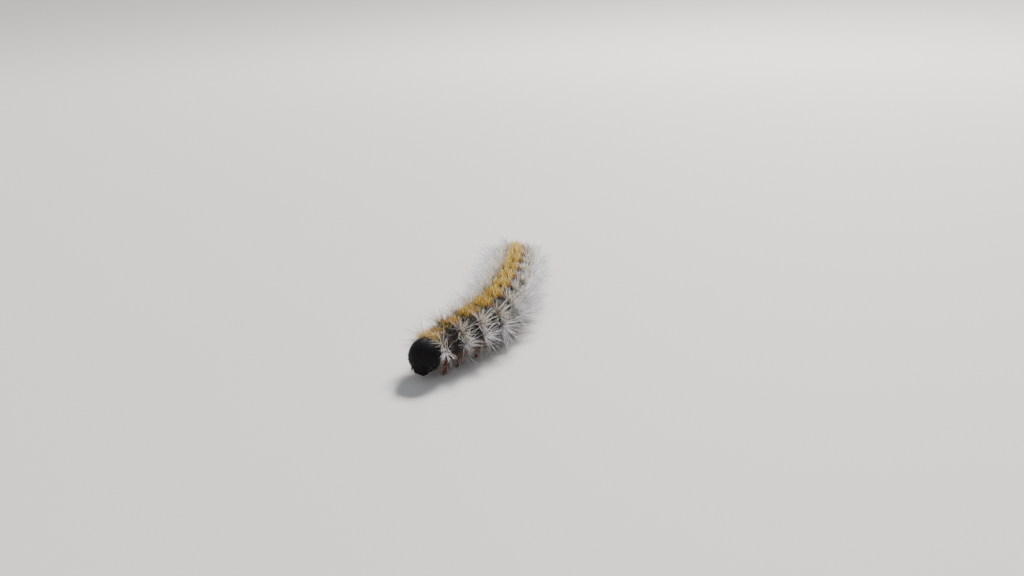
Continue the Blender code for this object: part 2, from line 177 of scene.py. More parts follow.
# How far the hair is combed back, from the first segment, where it stands forward, to the abdomen.
COMBED_PLACES = MIDDLES[[0, 1, 3, 6]]
COMBED_SHARES = (-4.5, -0.8, 0.5, 1.9)
FAR_COMB = 0.3
# How long the near side's hair is at the last of those places, as a share.
NEAR_REACH = 0.80
# The tufts' share of hairs at some segments, from the sparse front to the thick rear, on back and sides.
THICKNESS_PLACES = (0, 3, 7)
BACK_THICKNESS = (0.45, 0.8, 1.35)
SIDE_THICKNESS = (1.1, 0.85, 1.8)
# The near side's share of those hairs, from the first segment to the sixth.
NEAR_THINNESS = ((0, 5), (0.55, 1.0))
# How thick the side hairs are from the first segment to the fifth, as a share.
FINENESS = (MIDDLES[[0, 4]], (0.74, 1.0))
# How long the hairs of each ring are along the front of the body, as a share.
BACK_REACH = (MIDDLES[:4], (0.46, 0.62, 0.80, 1.0))
SHOULDER_REACH = (MIDDLES[:2], (1.25, 1.0))
FLANK_REACH = (MIDDLES[:5], (0.56, 0.56, 0.68, 0.88, 1.08))
# A segment of this length in mm or more carries full tufts.
FULL_TUFT_LENGTH = 3.3
# How many hairs of a tuft are drawn to a clump, and how far they spread in it (opening, turn), as shares.
CLUMPED_SHARE = 0.65
CLUMP_SPREAD = (0.16, 0.07)
RUST_LENGTH = 1.35
RUST, PALE_RUST = (0.40, 0.17, 0.045), (0.74, 0.46, 0.14)

# The tufts of one ring of warts: hairs of a full tuft, degrees that they part from the skin's own direction
# (least, most), share of that along the body, lean (down, back), droop, radius of the roots' oval in mm (round,
# along), clumps of a tuft, stoutness as shares of the hair's width (least, further), and two colours.
Tufts = namedtuple("Tufts", "title wart count cone along_share lean droop radius clumps stout root darker")
BACK_TUFTS = Tufts("Golden hair", BACK_WART - 6, 150, (0.0, 16.0), 2.2, (-0.22, 0.08), 0.0, (0.46, 1.42), 60,
                   (0.8, 0.6), root=(0.13, 0.045, 0.012), darker=(0.36, 0.19, 0.08))
RUST_TUFTS = Tufts("Rust hair", BACK_WART, 80, (0.0, 62.0), 1.2, (0.0, 0.10), 0.0, (0.66, 0.75), 40,
                   (0.7, 0.5), root=(0.08, 0.022, 0.010), darker=(0.36, 0.20, 0.14))
SHOULDER_TUFTS = Tufts("Cream hair", SHOULDER_WART, 100, (8.0, 76.0), 0.5, (-0.10, 0.14), 0.05,
                       (0.60, 0.22), 16, (0.9, 0.7), root=(0.10, 0.075, 0.06), darker=(0.38, 0.33, 0.30))
FLANK_TUFTS = Tufts("White hair", FLANK_WART, 116, (4.0, 80.0), 0.95, (-0.34, 0.22), 0.05, (0.30, 0.24), 20,
                    (1.0, 0.8), root=(0.14, 0.10, 0.10), darker=(0.40, 0.36, 0.37))
LOW_TUFTS = Tufts("Grey hair", FOOT_WART, 40, (10.0, 76.0), 1.0, (-0.05, 0.10), 0.04, (0.36, 0.30), 12,
                  (0.8, 0.5), root=(0.12, 0.08, 0.07), darker=(0.38, 0.32, 0.31))

# A fringe: hairs, the places and angles they grow from, length in mm, lean, way (-1 forwards), droop, stoutness.
Fringe = namedtuple("Fringe", "title name count places angles length lean way droop stout root darker")
NECK_FRINGE = Fringe("Neck fringe", "neck_fringe", 400, (STARTS[0] + 0.05, STARTS[0] + 0.9), (-86.0, 32.0),
                     1.6, 1.1, -1.0, 0.0, (0.6, 0.5), root=(0.28, 0.13, 0.05), darker=(0.5, 0.42, 0.35))
TAIL_FRINGE = Fringe("Tail fringe", "tail_fringe", 520, (STARTS[RUMP] + 0.5, BODY_END - 0.2), (-118.0, 118.0),
                     3.4, 1.15, 1.0, 0.12, (0.6, 0.5), root=(0.28, 0.13, 0.05), darker=(0.5, 0.42, 0.35))
NECK_GOLD, PALE_NECK_GOLD = (0.84, 0.60, 0.17), (0.97, 0.88, 0.52)

HAIR_PLACES = np.array((0.0, 0.38, 0.74))
HAIR_TAPER = np.array((1.0, 0.86, 0.55))
HAIR_SIDES = 3
HAIRS_A_PIECE = 12400
BAKE_PATCH = 0.003
BOX_MARGIN = 0.03
# How far in mm the coat stays off the head, and how much a hair is bent at a time to do so.
HEAD_CLEARANCE = 0.12
HEAD_BEND = 0.09


def smoothstep(low, high, value):
    """Rises smoothly from 0 at low to 1 at high."""
    t = np.clip((value - low) / (high - low), 0.0, 1.0)
    return t * t * (3 - 2 * t)


def bell(value, width):
    """1 at zero, falling off on both sides as exp(-(value / width) squared)."""
    return np.exp(-((value / width) ** 2))


def unit(vectors):
    """Vectors scaled to length 1."""
    return vectors / np.maximum(np.linalg.norm(vectors, axis=-1, keepdims=True), 1e-9)


def hermite(rows, place):
    """A cubic curve through rows of (place, value), each slope taken between the row's two neighbours."""
    x, y = rows[:, 0], rows[:, 1]
    low, high = np.maximum(np.arange(len(x)) - 1, 0), np.minimum(np.arange(len(x)) + 1, len(x) - 1)
    slope = (y[high] - y[low]) / (x[high] - x[low])
    p = np.clip(place, x[0], x[-1])
    i = np.clip(np.searchsorted(x, p, side="right") - 1, 0, len(x) - 2)
    span = x[i + 1] - x[i]
    t = (p - x[i]) / span
    return (
        (2 * t**3 - 3 * t**2 + 1) * y[i]
        + (t**3 - 2 * t**2 + t) * span * slope[i]
        + (3 * t**2 - 2 * t**3) * y[i + 1]
        + (t**3 - t**2) * span * slope[i + 1]
    )


def trace_spine():
    """The spine's points on the floor in mm: the running sum of short steps along its heading."""
    places = np.arange(0.0, SPINE_END, SPINE_STEP)
    turn = np.radians(hermite(HEADINGS, places + SPINE_STEP / 2))
    steps = SPINE_STEP * np.stack([np.sin(turn), np.cos(turn)], 1)
    return np.array(FACE_PLACE) + np.concatenate([np.zeros((1, 2)), np.cumsum(steps, 0)])


SPINE = trace_spine()


def spine_frame(place):
    """The spine's points on the floor, and its backward and left directions, at places behind the face."""
    turn = np.radians(hermite(HEADINGS, place))
    flat = np.zeros_like(turn)
    back = np.stack([np.sin(turn), np.cos(turn), flat], -1)
    left = np.stack([np.cos(turn), -np.sin(turn), flat], -1)
    step = np.clip((place / SPINE_STEP).astype(int), 0, len(SPINE) - 2)
    foot = np.concatenate([SPINE[step], flat[..., None]], -1) + back * (place - step * SPINE_STEP)[..., None]
    return foot, back, left


def to_world(points):
    """Body coordinates in mm laid along the bent spine, in metres."""
    foot, _, left = spine_frame(points[..., 1])
    return (foot + left * points[..., :1] + UP * points[..., 2:]) * MM


def segment_of(place):
    """Which segment a place behind the face is in, and how far through it from 0 to 1."""
    i = np.clip(np.searchsorted(STARTS, place, side="right") - 1, 0, RUMP)
    return i, np.clip((place - STARTS[i]) / LENGTHS[i], 0.0, 1.0)


def ring_scale(place):
    """How far the body shrinks at a place: a furrow at each segment's ends, the neck and the rounded rump."""
    i, u = segment_of(place)
    end = np.minimum(u, 1 - u)
    scale = 1 - FURROW_DEPTH * np.abs(2 * u - 1) ** 3 - 0.035 * bell(end * LENGTHS[i], 0.17)
    neck = np.where((i == 0) & (u < 0.5), NECK_SHARE + (1 - NECK_SHARE) * np.sin(np.pi * u), 1.0)
    pole = np.sqrt(np.clip(1 - ((HEAD_LENGTH - place) / (HEAD_LENGTH - NECK_POLE)) ** 2, 0.0, 1.0))
    scale = scale * neck * np.where(place < HEAD_LENGTH, pole, 1.0)
    return np.where(i == RUMP, hermite(RUMP_SHARES, u), scale) * SKIN_SHARE


def body_surface(place, angle_deg):
    """Points and outward directions of the smooth skin: half an ellipse over a flatter belly, round the spine."""
    wide, high = hermite(HALF_WIDTHS, place), hermite(HALF_HEIGHTS, place)
    scale = ring_scale(place)
    angle = np.radians(angle_deg)
    rise = np.cos(angle)
    power = BELLY_FLATNESS / 2
    low = BELLY_ROUNDING**power
    flat = ((rise**2 + BELLY_ROUNDING) ** power - low) / ((1 + BELLY_ROUNDING) ** power - low)
    rise = np.where(rise < 0, -flat, rise)
    point = np.stack([np.sin(angle) * wide * scale, place, BELLY_HEIGHT + high * (1 + rise * scale)], -1)
    normal = unit(np.stack([np.sin(angle) / wide, np.zeros_like(angle), np.cos(angle) / high], -1))
    return point, normal


def wart_nearness(place, angle_deg):
    """How far in mm a point of the skin is from the middle of its nearest wart, and that ring's angle."""
    i, _ = segment_of(place)
    around = np.abs(angle_deg)
    ring = np.clip(np.round((around - BACK_WART) / WART_SPACING), 0, 3).astype(int)
    centre = ring * WART_SPACING + BACK_WART
    across = np.radians(around - centre) * hermite(HALF_WIDTHS, place)
    return np.hypot(across, place - MIDDLES[i] - WART_SHIFTS[i, ring]), centre


def spiracle_nearness(place, angle_deg):
    """How far in mm a point is from the nearest breathing hole, stretched so that the hole is a tall oval."""
    i, _ = segment_of(place)
    across = np.radians(np.abs(angle_deg) - SPIRACLE_ANGLE) * hermite(HALF_WIDTHS, place)
    near = np.hypot(across * 0.72, place - MIDDLES[i] + 0.55)
    return np.where(np.isin(i, SPIRACLE_SEGMENTS), near, 9.0)


def mirror_nearness(place, angle_deg):
    """How far a point is from the oval field in the middle of each back plate, 1 at the field's edge."""
    i, _ = segment_of(place)
    across = np.radians(angle_deg) * hermite(HALF_WIDTHS, place)
    near = np.hypot(across / 0.62, (place - MIDDLES[i] + 0.05) / 0.34)
    return np.where(np.isin(i, MIRROR_SEGMENTS), near, 9.0)


def skin_marks(place, angle_deg):
    """The markings, each from 0 to 1, as functions of the place along and round the body."""
    i, u = segment_of(place)
    around = np.abs(angle_deg)
    wavy = 3.0 * np.sin(2.1 * place + 0.7) + 2.0 * np.sin(5.3 * place)
    wart, _ = wart_nearness(place, angle_deg)
    furrow = np.abs(2 * u - 1) ** 4
    edge = np.interp(place, (ENDS[0], MIDDLES[6]), (100.0, 60.0))
    dark = smoothstep(edge + 22.0, edge, around + wavy)
    dark = np.maximum(dark, 0.9 * furrow * smoothstep(112.0, 88.0, around + wavy))
    belly = smoothstep(128.0, 150.0, around + wavy)
    domes = bell(wart, 0.42)
    holes = bell(spiracle_nearness(place, angle_deg) - 0.13, 0.06)
    mirror = smoothstep(1.15, 0.85, mirror_nearness(place, angle_deg))
    return {"dark": dark, "belly": belly, "wart": domes, "hole": holes, "mirror": mirror}


def skin_relief(place, angle_deg, wart_height):
    """The height in mm added to the smooth skin: domes, creases, a fold on the flank, rims and wrinkles."""
    i, u = segment_of(place)
    around = np.abs(angle_deg)
    wart, centre = wart_nearness(place, angle_deg)
    full = smoothstep(0.0, 0.12, u) * smoothstep(1.0, 0.88, u)
    dome = wart_height * np.where(centre > FOOT_WART - 1, 0.8, 1.0) * bell(wart, 0.50)
    creases = -CREASE_DEPTH * (bell((u - 0.24) * LENGTHS[i], 0.10) + bell((u - 0.76) * LENGTHS[i], 0.10))
    creases *= smoothstep(140.0, 110.0, around + 4 * np.sin(3 * place))
    fold = FOLD_HEIGHT * bell(around - FOLD_ANGLE, 8.0) - FOLD_GROOVE * bell(around - FOLD_GROOVE_ANGLE, 3.0)
    hole = spiracle_nearness(place, angle_deg)
    rim = RIM_HEIGHT * bell(hole - 0.16, 0.05) - HOLE_DEPTH * bell(hole, 0.10)
    mirror = -MIRROR_DEPTH * smoothstep(1.0, 0.8, mirror_nearness(place, angle_deg))
    theta = np.radians(angle_deg)
    wrinkle = np.sin(31 * theta + 3 * np.sin(2.1 * place)) * np.sin(9.3 * place + 2 * np.sin(5 * theta))
    wrinkle += np.sin(17 * theta - 2 * np.sin(3.7 * place)) * np.sin(16.1 * place + 3 * np.sin(7 * theta))
    relief = dome + creases + fold * full + rim + mirror + WRINKLE_HEIGHT * wrinkle
    ends = smoothstep(HEAD_LENGTH - 0.2, HEAD_LENGTH + 0.5, place) * smoothstep(BODY_END, BODY_END - 0.6, place)
    return relief * ends


def draw_out_foot(points, across, place, reach):
    """Pulls one foot out of the belly: each point within reach is moved aside and down by FOOT_PROFILE."""
    aside, behind = points[..., 0] - across, points[..., 1] - place
    share = np.hypot(aside, behind) / reach
    inside = (share < 1) & (points[..., 2] < BELLY_HEIGHT + 1.6)
    share = np.where(inside, share, 1.0)
    new_share = hermite(FOOT_PROFILE[:, :2], share)
    down = hermite(FOOT_PROFILE[:, ::2], share)
    grow = np.where(inside, new_share / np.maximum(share, 1e-6), 1.0)
    height = points[..., 2] * (1 - down) + SOLE_HEIGHT * down
    height = np.where(inside, height, points[..., 2])
    return np.stack([across + aside * grow, place + behind * grow, height], -1)


def spread_places(first, last, count, crowding):
    """Places from first to last, closer together where crowding is larger: the inverse of its running sum."""
    fine = np.linspace(first, last, 6000)
    total = np.cumsum(crowding(fine))
    total = (total - total[0]) / (total[-1] - total[0])
    return np.interp(np.linspace(0.0, 1.0, count), total, fine)


def join(shapes):
    """Several shapes of (points, four-sided faces, three-sided faces) as one, their faces counted on."""
    offsets = np.cumsum([0] + [len(shape[0]) for shape in shapes[:-1]])
    points = np.concatenate([shape[0] for shape in shapes])
    quads = np.concatenate([shape[1] + offset for shape, offset in zip(shapes, offsets)])
    triangles = np.concatenate([shape[2] + offset for shape, offset in zip(shapes, offsets)])
    return points, quads, triangles


def ring_quads(count, sides):
    """The four-sided faces between count rings of points, each joined to the next."""
    row, column = np.arange(count - 1)[:, None] * sides, np.arange(sides)
    following = (column + 1) % sides
    quads = np.stack([row + column, row + following, row + sides + following, row + sides + column], -1)
    return quads.reshape(-1, 4)


def closed_rings(rings):
    """A closed shape from rings of points, joined in turn and drawn to the middles of the end rings."""
    count, sides = rings.shape[:2]
    points = np.concatenate([rings.reshape(-1, 3), rings[0].mean(0)[None], rings[-1].mean(0)[None]])
    column, last = np.arange(sides), (count - 1) * sides
    following = (column + 1) % sides
    front = np.stack([following, column, np.full(sides, count * sides)], -1)
    rear = np.stack([last + column, last + following, np.full(sides, count * sides + 1)], -1)
    return outwards((points, ring_quads(count, sides), np.concatenate([front, rear])))


def outwards(shape):
    """Turns a closed shape's faces outwards: they are reversed where its signed volume is below zero."""
    points, quads, triangles = shape
    corners = np.concatenate([quads[:, :3], quads[:, [0, 2, 3]], triangles])
    a, b, c = (points[corners[:, k]] for k in range(3))
    if np.einsum("ij,ij->", a - points.mean(0), np.cross(b - points.mean(0), c - points.mean(0))) < 0:
        return points, quads[:, ::-1], triangles[:, ::-1]
    return shape


def sphere(rows, columns):
    """Unit directions all over a ball, in rows from the top down with columns round it."""
    polar = (np.arange(rows) + 0.5) * np.pi / rows
    polar, turn = np.meshgrid(polar, np.arange(columns) * 2 * np.pi / columns, indexing="ij")
    return np.stack([np.sin(polar) * np.cos(turn), np.sin(polar) * np.sin(turn), np.cos(polar)], -1)


def tube(rows, rings, sides, flat=1.0, reference=(0.0, 1.0, 0.0)):
    """A closed tube round a smooth curve through rows of (share, x, y, z, half width), flat times as deep."""
    rows = np.array(rows)
    share = np.linspace(0.0, 1.0, rings)
    centre = np.stack([hermite(rows[:, [0, k]], share) for k in (1, 2, 3)], 1)
    half = np.maximum(hermite(rows[:, [0, 4]], share), 0.002)[:, None, None]
    tangent = unit(np.gradient(centre, axis=0))
    across = unit(np.cross(tangent, np.array(reference)))
    deep = np.cross(across, tangent) * flat
    turn = (2 * np.pi * np.arange(sides) / sides)[None, :, None]
    ring = centre[:, None] + half * (np.cos(turn) * across[:, None] + np.sin(turn) * deep[:, None])
    return closed_rings(ring)


def add_piece(name, shape, material, replaced=(), values=None, corner_map=None):
    """Puts a shape in metres into a smooth object that rides on the body, with its values at each point."""
    points, quads, triangles = shape
    mesh = bpy.data.meshes.new(name)
    mesh.vertices.add(len(points))
    mesh.vertices.foreach_set("co", np.ascontiguousarray(points, dtype=np.float32).ravel())
    corners = np.concatenate([quads.ravel(), triangles.ravel()]).astype(np.int32)
    starts = np.concatenate([np.arange(len(quads)) * 4, quads.size + np.arange(len(triangles)) * 3])
    mesh.loops.add(len(corners))
    mesh.loops.foreach_set("vertex_index", corners)
    mesh.polygons.add(len(starts))
    mesh.polygons.foreach_set("loop_start", starts.astype(np.int32))
    mesh.update(calc_edges=True)
    mesh.shade_smooth()
    for value_name, value in (values or {}).items():
        mesh.attributes.new(value_name, "FLOAT", "POINT").data.foreach_set("value", value.astype(np.float32))
    if corner_map is not None:
        layer = mesh.uv_layers.new(name="OFBake")
        layer.uv.foreach_set("vector", corner_map(corners).astype(np.float32).ravel())
    mesh.materials.append(material)
    made = bpy.data.objects.new(name, mesh)
    bpy.context.scene.collection.objects.link(made)
    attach(made, "root")
    if replaced:
        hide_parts(*replaced)
    return made


class Finish:
    """A Principled material under construction, with short ways to add and join its nodes."""

    def __init__(self, name, **sockets):
        self.material = bpy.data.materials.new(name)
        self.material.use_nodes = True
        self.tree = self.material.node_tree
        self.shader = self.tree.nodes["Principled BSDF"]
        for socket, value in sockets.items():
            self.shader.inputs[socket.replace("_", " ")].default_value = value
        self.place = self.node("ShaderNodeTexCoord").outputs["Object"]

    def node(self, kind, inputs=None, **settings):
        made = self.tree.nodes.new(kind)
        for key, value in settings.items():
            setattr(made, key, value)
        for key, value in (inputs or {}).items():
            self.put(value, made.inputs[key])
        return made

    def put(self, value, socket):
        if isinstance(value, bpy.types.NodeSocket):
            self.tree.links.new(value, socket)
        else:
            socket.default_value = value

    def set(self, socket, value):
        self.put(value, self.shader.inputs[socket])

    def value(self, name):
        """The piece's own value of that name at each point."""
        return self.node("ShaderNodeAttribute", attribute_name=name).outputs["Fac"]

    def noise(self, size, detail=3.0, roughness=0.55):
        """Soft noise whose features are size metres across."""
        inputs = {"Vector": self.place, "Scale": 1 / size, "Detail": detail, "Roughness": roughness}
        return self.node("ShaderNodeTexNoise", inputs).outputs["Fac"]

    def cells(self, size, feature="F1"):
        """The distance to scattered points about size metres apart."""
        inputs = {"Vector": self.place, "Scale": 1 / size}
        return self.node("ShaderNodeTexVoronoi", inputs, feature=feature).outputs["Distance"]

    def maths(self, operation, *values, clamp=False):
        made = self.node("ShaderNodeMath", operation=operation, use_clamp=clamp)
        for value, socket in zip(values, made.inputs):
            self.put(value, socket)
        return made.outputs[0]

    def spread(self, value, low, high):
        """The value drawn out from 0 at low to 1 at high."""
        return self.node("ShaderNodeMapRange", {"Value": value, "From Min": low, "From Max": high}).outputs[0]

    def mix(self, share, first, second):
        made = self.node("ShaderNodeMix", data_type="RGBA")
        for value, socket in ((share, made.inputs[0]), (first, made.inputs[6]), (second, made.inputs[7])):
            self.put(value, socket)
        return made.outputs[2]

    def bump(self, height, strength, distance):
        inputs = {"Height": height, "Strength": strength, "Distance": distance}
        self.set("Normal", self.node("ShaderNodeBump", inputs).outputs[0])


def colour(value, share=1.0):
    """A colour property with full alpha, scaled by share."""
    return (value[0] * share, value[1] * share, value[2] * share, 1.0)


def tint_property(name, description, default):
    """A colour that the panel can change."""
    return FloatVectorProperty(
        name=name, description=description, subtype="COLOR", default=default, size=3, min=0.0, max=1.0)


def size_property(name, description, default, low, high):
    """A length given in mm that the panel can change."""
    return FloatProperty(name=name, description=description, default=default * MM, min=low * MM,
                         max=high * MM, subtype="DISTANCE", unit="LENGTH", precision=5)


def power_property(name, description, default):
    """A light's power in watts that the panel can change."""
    return FloatProperty(
        name=name, description=description, default=default, min=0.0, max=500.0, unit="POWER")


class LarvaSkinSettings(bpy.types.PropertyGroup):
    wart_height: size_property("Wart height", "How far the warts with the hair stand out", 0.26, 0.0, 0.5)
    back_colour: tint_property("Back", "The dark bands across the back", (0.010, 0.008, 0.009))
    flank_colour: tint_property("Flank", "The purplish brown of the flanks", (0.125, 0.056, 0.040))
    belly_colour: tint_property("Belly", "The tan of the belly and the feet", (0.33, 0.19, 0.11))
    wart_colour: tint_property("Warts", "The reddish brown of the warts", (0.19, 0.090, 0.060))


class LarvaHeadSettings(bpy.types.PropertyGroup):
    shell_colour: tint_property("Shell", "The black head capsule", (0.0058, 0.0066, 0.0084))
    leg_colour: tint_property("Legs and mouth", "The red-brown of the legs and jaws", (0.165, 0.048, 0.018))
    eye_radius: size_property("Eye radius", "The radius of each single eye", 0.15, 0.05, 0.2)


class LarvaCoatSettings(bpy.types.PropertyGroup):
    seed: IntProperty(name="Seed", description="The number that the random places start from", default=7)
    hair_width: size_property("Hair width", "How thick a hair is at its root", 0.046, 0.01, 0.2)
    back_length: size_property("Back hair", "The length of the golden hair on the back", 2.1, 0.2, 6.0)
    shoulder_length: size_property("Shoulder hair", "The length of the cream hair", 3.2, 0.2, 8.0)
    flank_length: size_property("Flank hair", "The length of the white hair on the flanks", 5.2, 0.2, 8.0)
    foot_length: size_property("Low hair", "The length of the grey hair above the feet", 2.7, 0.2, 8.0)
    gold: tint_property("Gold", "The golden hair of the back", (0.68, 0.46, 0.05))
    pale_gold: tint_property("Pale gold", "The tips of the golden hair", (0.96, 0.84, 0.28))
    cream: tint_property("Cream", "The pale yellow hair of the shoulders", (0.86, 0.82, 0.69))
    white: tint_property("White", "The white hair of the flanks", (0.92, 0.92, 0.95))
    grey: tint_property("Grey", "The greyish hair low on the flanks", (0.62, 0.58, 0.56))


class LarvaStageSettings(bpy.types.PropertyGroup):
    floor_colour: tint_property("Floor", "The pale floor", (0.50, 0.494, 0.480))
    key_power: power_property("Key light", "The light from behind on the right", 66.0)
    fill_power: power_property("Fill light", "The soft light from the camera's side", 3.0)


def skin_finish(settings):
    """Dark back, purplish flanks, tan belly and brown warts by the skin's own values, mottled and wrinkled."""
    finish = Finish("Larva skin", Roughness=0.5, Specular_IOR_Level=0.2)
    mottle = finish.spread(finish.noise(0.00042, 4.0), 0.38, 0.62)
    fine = finish.noise(0.00012, 3.0)
    flank = finish.mix(mottle, colour(settings.flank_colour, 0.45), colour(settings.flank_colour, 1.25))
    back = finish.mix(mottle, colour(settings.back_colour), colour(settings.back_colour, 2.6))
    belly = finish.mix(mottle, colour(settings.belly_colour, 0.6), colour(settings.belly_colour))
    wart = finish.mix(fine, colour(settings.wart_colour, 0.7), colour(settings.wart_colour, 1.2))
    edge = finish.maths("MULTIPLY", finish.maths("SUBTRACT", mottle, 0.5), 0.5)
    dark = finish.maths("ADD", finish.value("dark"), edge, clamp=True)
    tint = finish.mix(finish.value("belly"), flank, belly)
    tint = finish.mix(finish.spread(dark, 0.35, 0.75), tint, back)
    tint = finish.mix(finish.spread(finish.value("wart"), 0.35, 0.75), tint, wart)
    tint = finish.mix(finish.value("mirror"), tint, colour((0.10, 0.040, 0.012)))
    tint = finish.mix(finish.value("hole"), tint, colour((0.010, 0.008, 0.008)))
    finish.set("Base Color", tint)
    finish.set("Roughness", finish.spread(fine, -1.2, 2.4))
    finish.bump(finish.maths("ADD", finish.noise(0.00016, 5.0), finish.cells(0.00009)), 0.7, 0.00004)
    return finish.material


def shell_finish(settings):
    """Black satin shell with a fine raised grain and a little brown in its hollows."""
    finish = Finish("Head shell", Roughness=0.4, Specular_IOR_Level=0.09)
    patch = finish.spread(finish.noise(0.0006, 4.0), 0.4, 0.7)
    tint = finish.mix(patch, colour(settings.shell_colour), colour((0.0085, 0.0060, 0.0058)))
    finish.set("Base Color", finish.mix(finish.value("seam"), tint, colour((0.012, 0.007, 0.005))))
    finish.set("Roughness", finish.spread(finish.noise(0.00025), -1.0, 1.5))
    grain = finish.maths("ADD", finish.cells(0.00011, "SMOOTH_F1"), finish.noise(0.00006, 2.0))
    finish.bump(grain, 0.55, 0.00003)
    return finish.material


def leg_finish(settings, name="Leg shell", share=1.0, gloss=0.35):
    """Red-brown glossy shell, darker at the joints and the tips, with soft streaks."""
    finish = Finish(name, Roughness=0.32, Specular_IOR_Level=gloss)
    streak = finish.spread(finish.noise(0.0003, 4.0), 0.35, 0.7)
    tint = finish.mix(streak, colour(settings.leg_colour, share), colour(settings.leg_colour, 0.55 * share))
    tint = finish.mix(finish.value("tip"), tint, colour((0.020, 0.008, 0.006), min(1.0, 4 * share)))
    finish.set("Base Color", tint)
    finish.set("Roughness", finish.spread(finish.noise(0.00015), -0.5, 2.4))
    finish.bump(finish.noise(0.00009, 4.0), 0.5, 0.00003)
    return finish.material


def eye_finish():
    """Glossy dark amber lenses, near black, a touch browner in their middles."""
    finish = Finish("Single eye", Roughness=0.16, Specular_IOR_Level=0.3)
    tint = finish.mix(finish.value("tip"), (0.003, 0.002, 0.002, 1.0), (0.03, 0.014, 0.006, 1.0))
    finish.set("Base Color", tint)
    return finish.material


def hair_finish(name, root, middle, tip, darker):
    """Hair that runs from its root colour through its middle colour to its tip, some hairs darker."""
    finish = Finish(name, Roughness=0.42, Sheen_Weight=0.5, Sheen_Roughness=0.4, Sheen_Tint=middle)
    tone, shade = finish.value("tone"), finish.value("shade")
    tint = finish.mix(finish.spread(tone, 0.0, 0.45), root, middle)
    tint = finish.mix(finish.spread(tone, 0.55, 1.0), tint, tip)
    dark = finish.mix(finish.spread(shade, 0.5, 0.9), (1.0, 1.0, 1.0, 1.0), colour(darker))
    product = finish.node("ShaderNodeMix", data_type="RGBA", blend_type="MULTIPLY")
    product.inputs[0].default_value = 1.0
    finish.put(tint, product.inputs[6])
    finish.put(dark, product.inputs[7])
    finish.set("Base Color", product.outputs[2])
    return finish.material


class LarvaOperator:
    """What every step of the larva shares."""

    bl_options = {"REGISTER", "UNDO"}


class LARVA_OT_skin(LarvaOperator, bpy.types.Operator):
    """One seamless skin over all thirteen segments, with the warts, folds and feet drawn out of it"""

    bl_idname = "larva.skin"
    bl_label = "Skin"

    def execute(self, context):
        settings = context.scene.larva_skin
        feet = [MIDDLES[NAMES.index(name)] for name in PROLEG_SEGMENTS]
        clasper = STARTS[RUMP] + CLASPER_ALONG * LENGTHS[RUMP]

        def crowded_rows(place):
            near_feet = sum(bell(place - foot, 0.9) for foot in feet)
            return 1 + 1.1 * near_feet + 0.9 * bell(place - clasper, 0.6) + 3 * bell(place - BODY_END, 0.25)

        def crowded_columns(turn):
            return 1 + 1.3 * bell(np.abs(turn) - 152, 17)

        places = spread_places(NECK_POLE + 0.005, BODY_END - 0.004, SKIN_ROWS, crowded_rows)
        angles = spread_places(-180.0, 180.0, SKIN_COLUMNS + 1, crowded_columns)
        place, angle = np.meshgrid(places, angles[:-1], indexing="ij")
        points, normal = body_surface(place, angle)
        points = points + normal * skin_relief(place, angle, settings.wart_height / MM)[..., None]
        marks = skin_marks(place, angle)
        for _, sign in SIDES:
            for foot in feet:
                points = draw_out_foot(points, sign * PROLEG_ACROSS, foot, PROLEG_REACH)
            points = draw_out_foot(points, sign * CLASPER_ACROSS, clasper, CLASPER_REACH)
        shape = closed_rings(to_world(points))
        values = {name: np.append(mark, (mark[0, 0], mark[-1, 0])) for name, mark in marks.items()}
        turn = np.concatenate([angle.ravel() / 360 + 0.5, (0.5, 0.5)])
        back = np.concatenate([place.ravel(), (NECK_POLE, BODY_END)]) / (BODY_END + 1)

        def corner_map(corners):
            across = turn[corners]
            quads = shape[1].size
            four, three = across[:quads].reshape(-1, 4), across[quads:].reshape(-1, 3)
            wrapped = [np.where((part.max(1) - part.min(1) > 0.5)[:, None] & (part < 0.4), part + 1, part)
                       for part in (four, three)]
            return np.stack([np.concatenate([part.ravel() for part in wrapped]) * 0.98, back[corners]], -1)

        replaced = list(NAMES)
        for side, _ in SIDES:
            replaced += [f"proleg_{name}_{side}" for name in PROLEG_SEGMENTS] + [f"clasper_{side}"]
        add_piece("skin", shape, skin_finish(settings), replaced, values, corner_map)
        return {"FINISHED"}


class LARVA_OT_feet(LarvaOperator, bpy.types.Operator):
    """The rows of fine hooks on the soles of the prolegs and claspers"""

    bl_idname = "larva.feet"
    bl_label = "Foot hooks"
    hooks = 17

    def execute(self, context):
        rump = STARTS[RUMP] + CLASPER_ALONG * LENGTHS[RUMP]
        feet = [(MIDDLES[NAMES.index(name)], PROLEG_ACROSS, 1.0) for name in PROLEG_SEGMENTS]
        feet.append((rump, CLASPER_ACROSS, 0.62))
        hook = ((0.0, 0.0, 0.0, 0.12, 0.030), (0.5, 0.05, 0.0, 0.035, 0.026), (0.8, 0.12, 0.0, 0.025, 0.018),
                (1.0, 0.15, 0.0, 0.06, 0.004))
        points, quads, triangles = tube(hook, 8, 5)
        shapes = []
        for _, sign in SIDES:
            for place, across, size in feet:
                for k in range(self.hooks):
                    turn = math.radians(-68 + 136 * k / (self.hooks - 1))
                    aim = np.array((-sign * math.cos(turn), math.sin(turn), 0.0))
                    wide = np.array((-aim[1], aim[0], 0.0))
                    root = np.array((sign * across, place, 0.0)) + aim * 0.50 * size
                    placed = root + size * (points[:, :1] * aim + points[:, 1:2] * wide) + UP * points[:, 2:]
                    shapes.append(outwards((to_world(placed), quads, triangles)))
        shape = join(shapes)
        material = leg_finish(context.scene.larva_head, "Hooks", 0.6)
        add_piece("foot_hooks", shape, material, values={"tip": np.ones(len(shape[0]))})
        return {"FINISHED"}


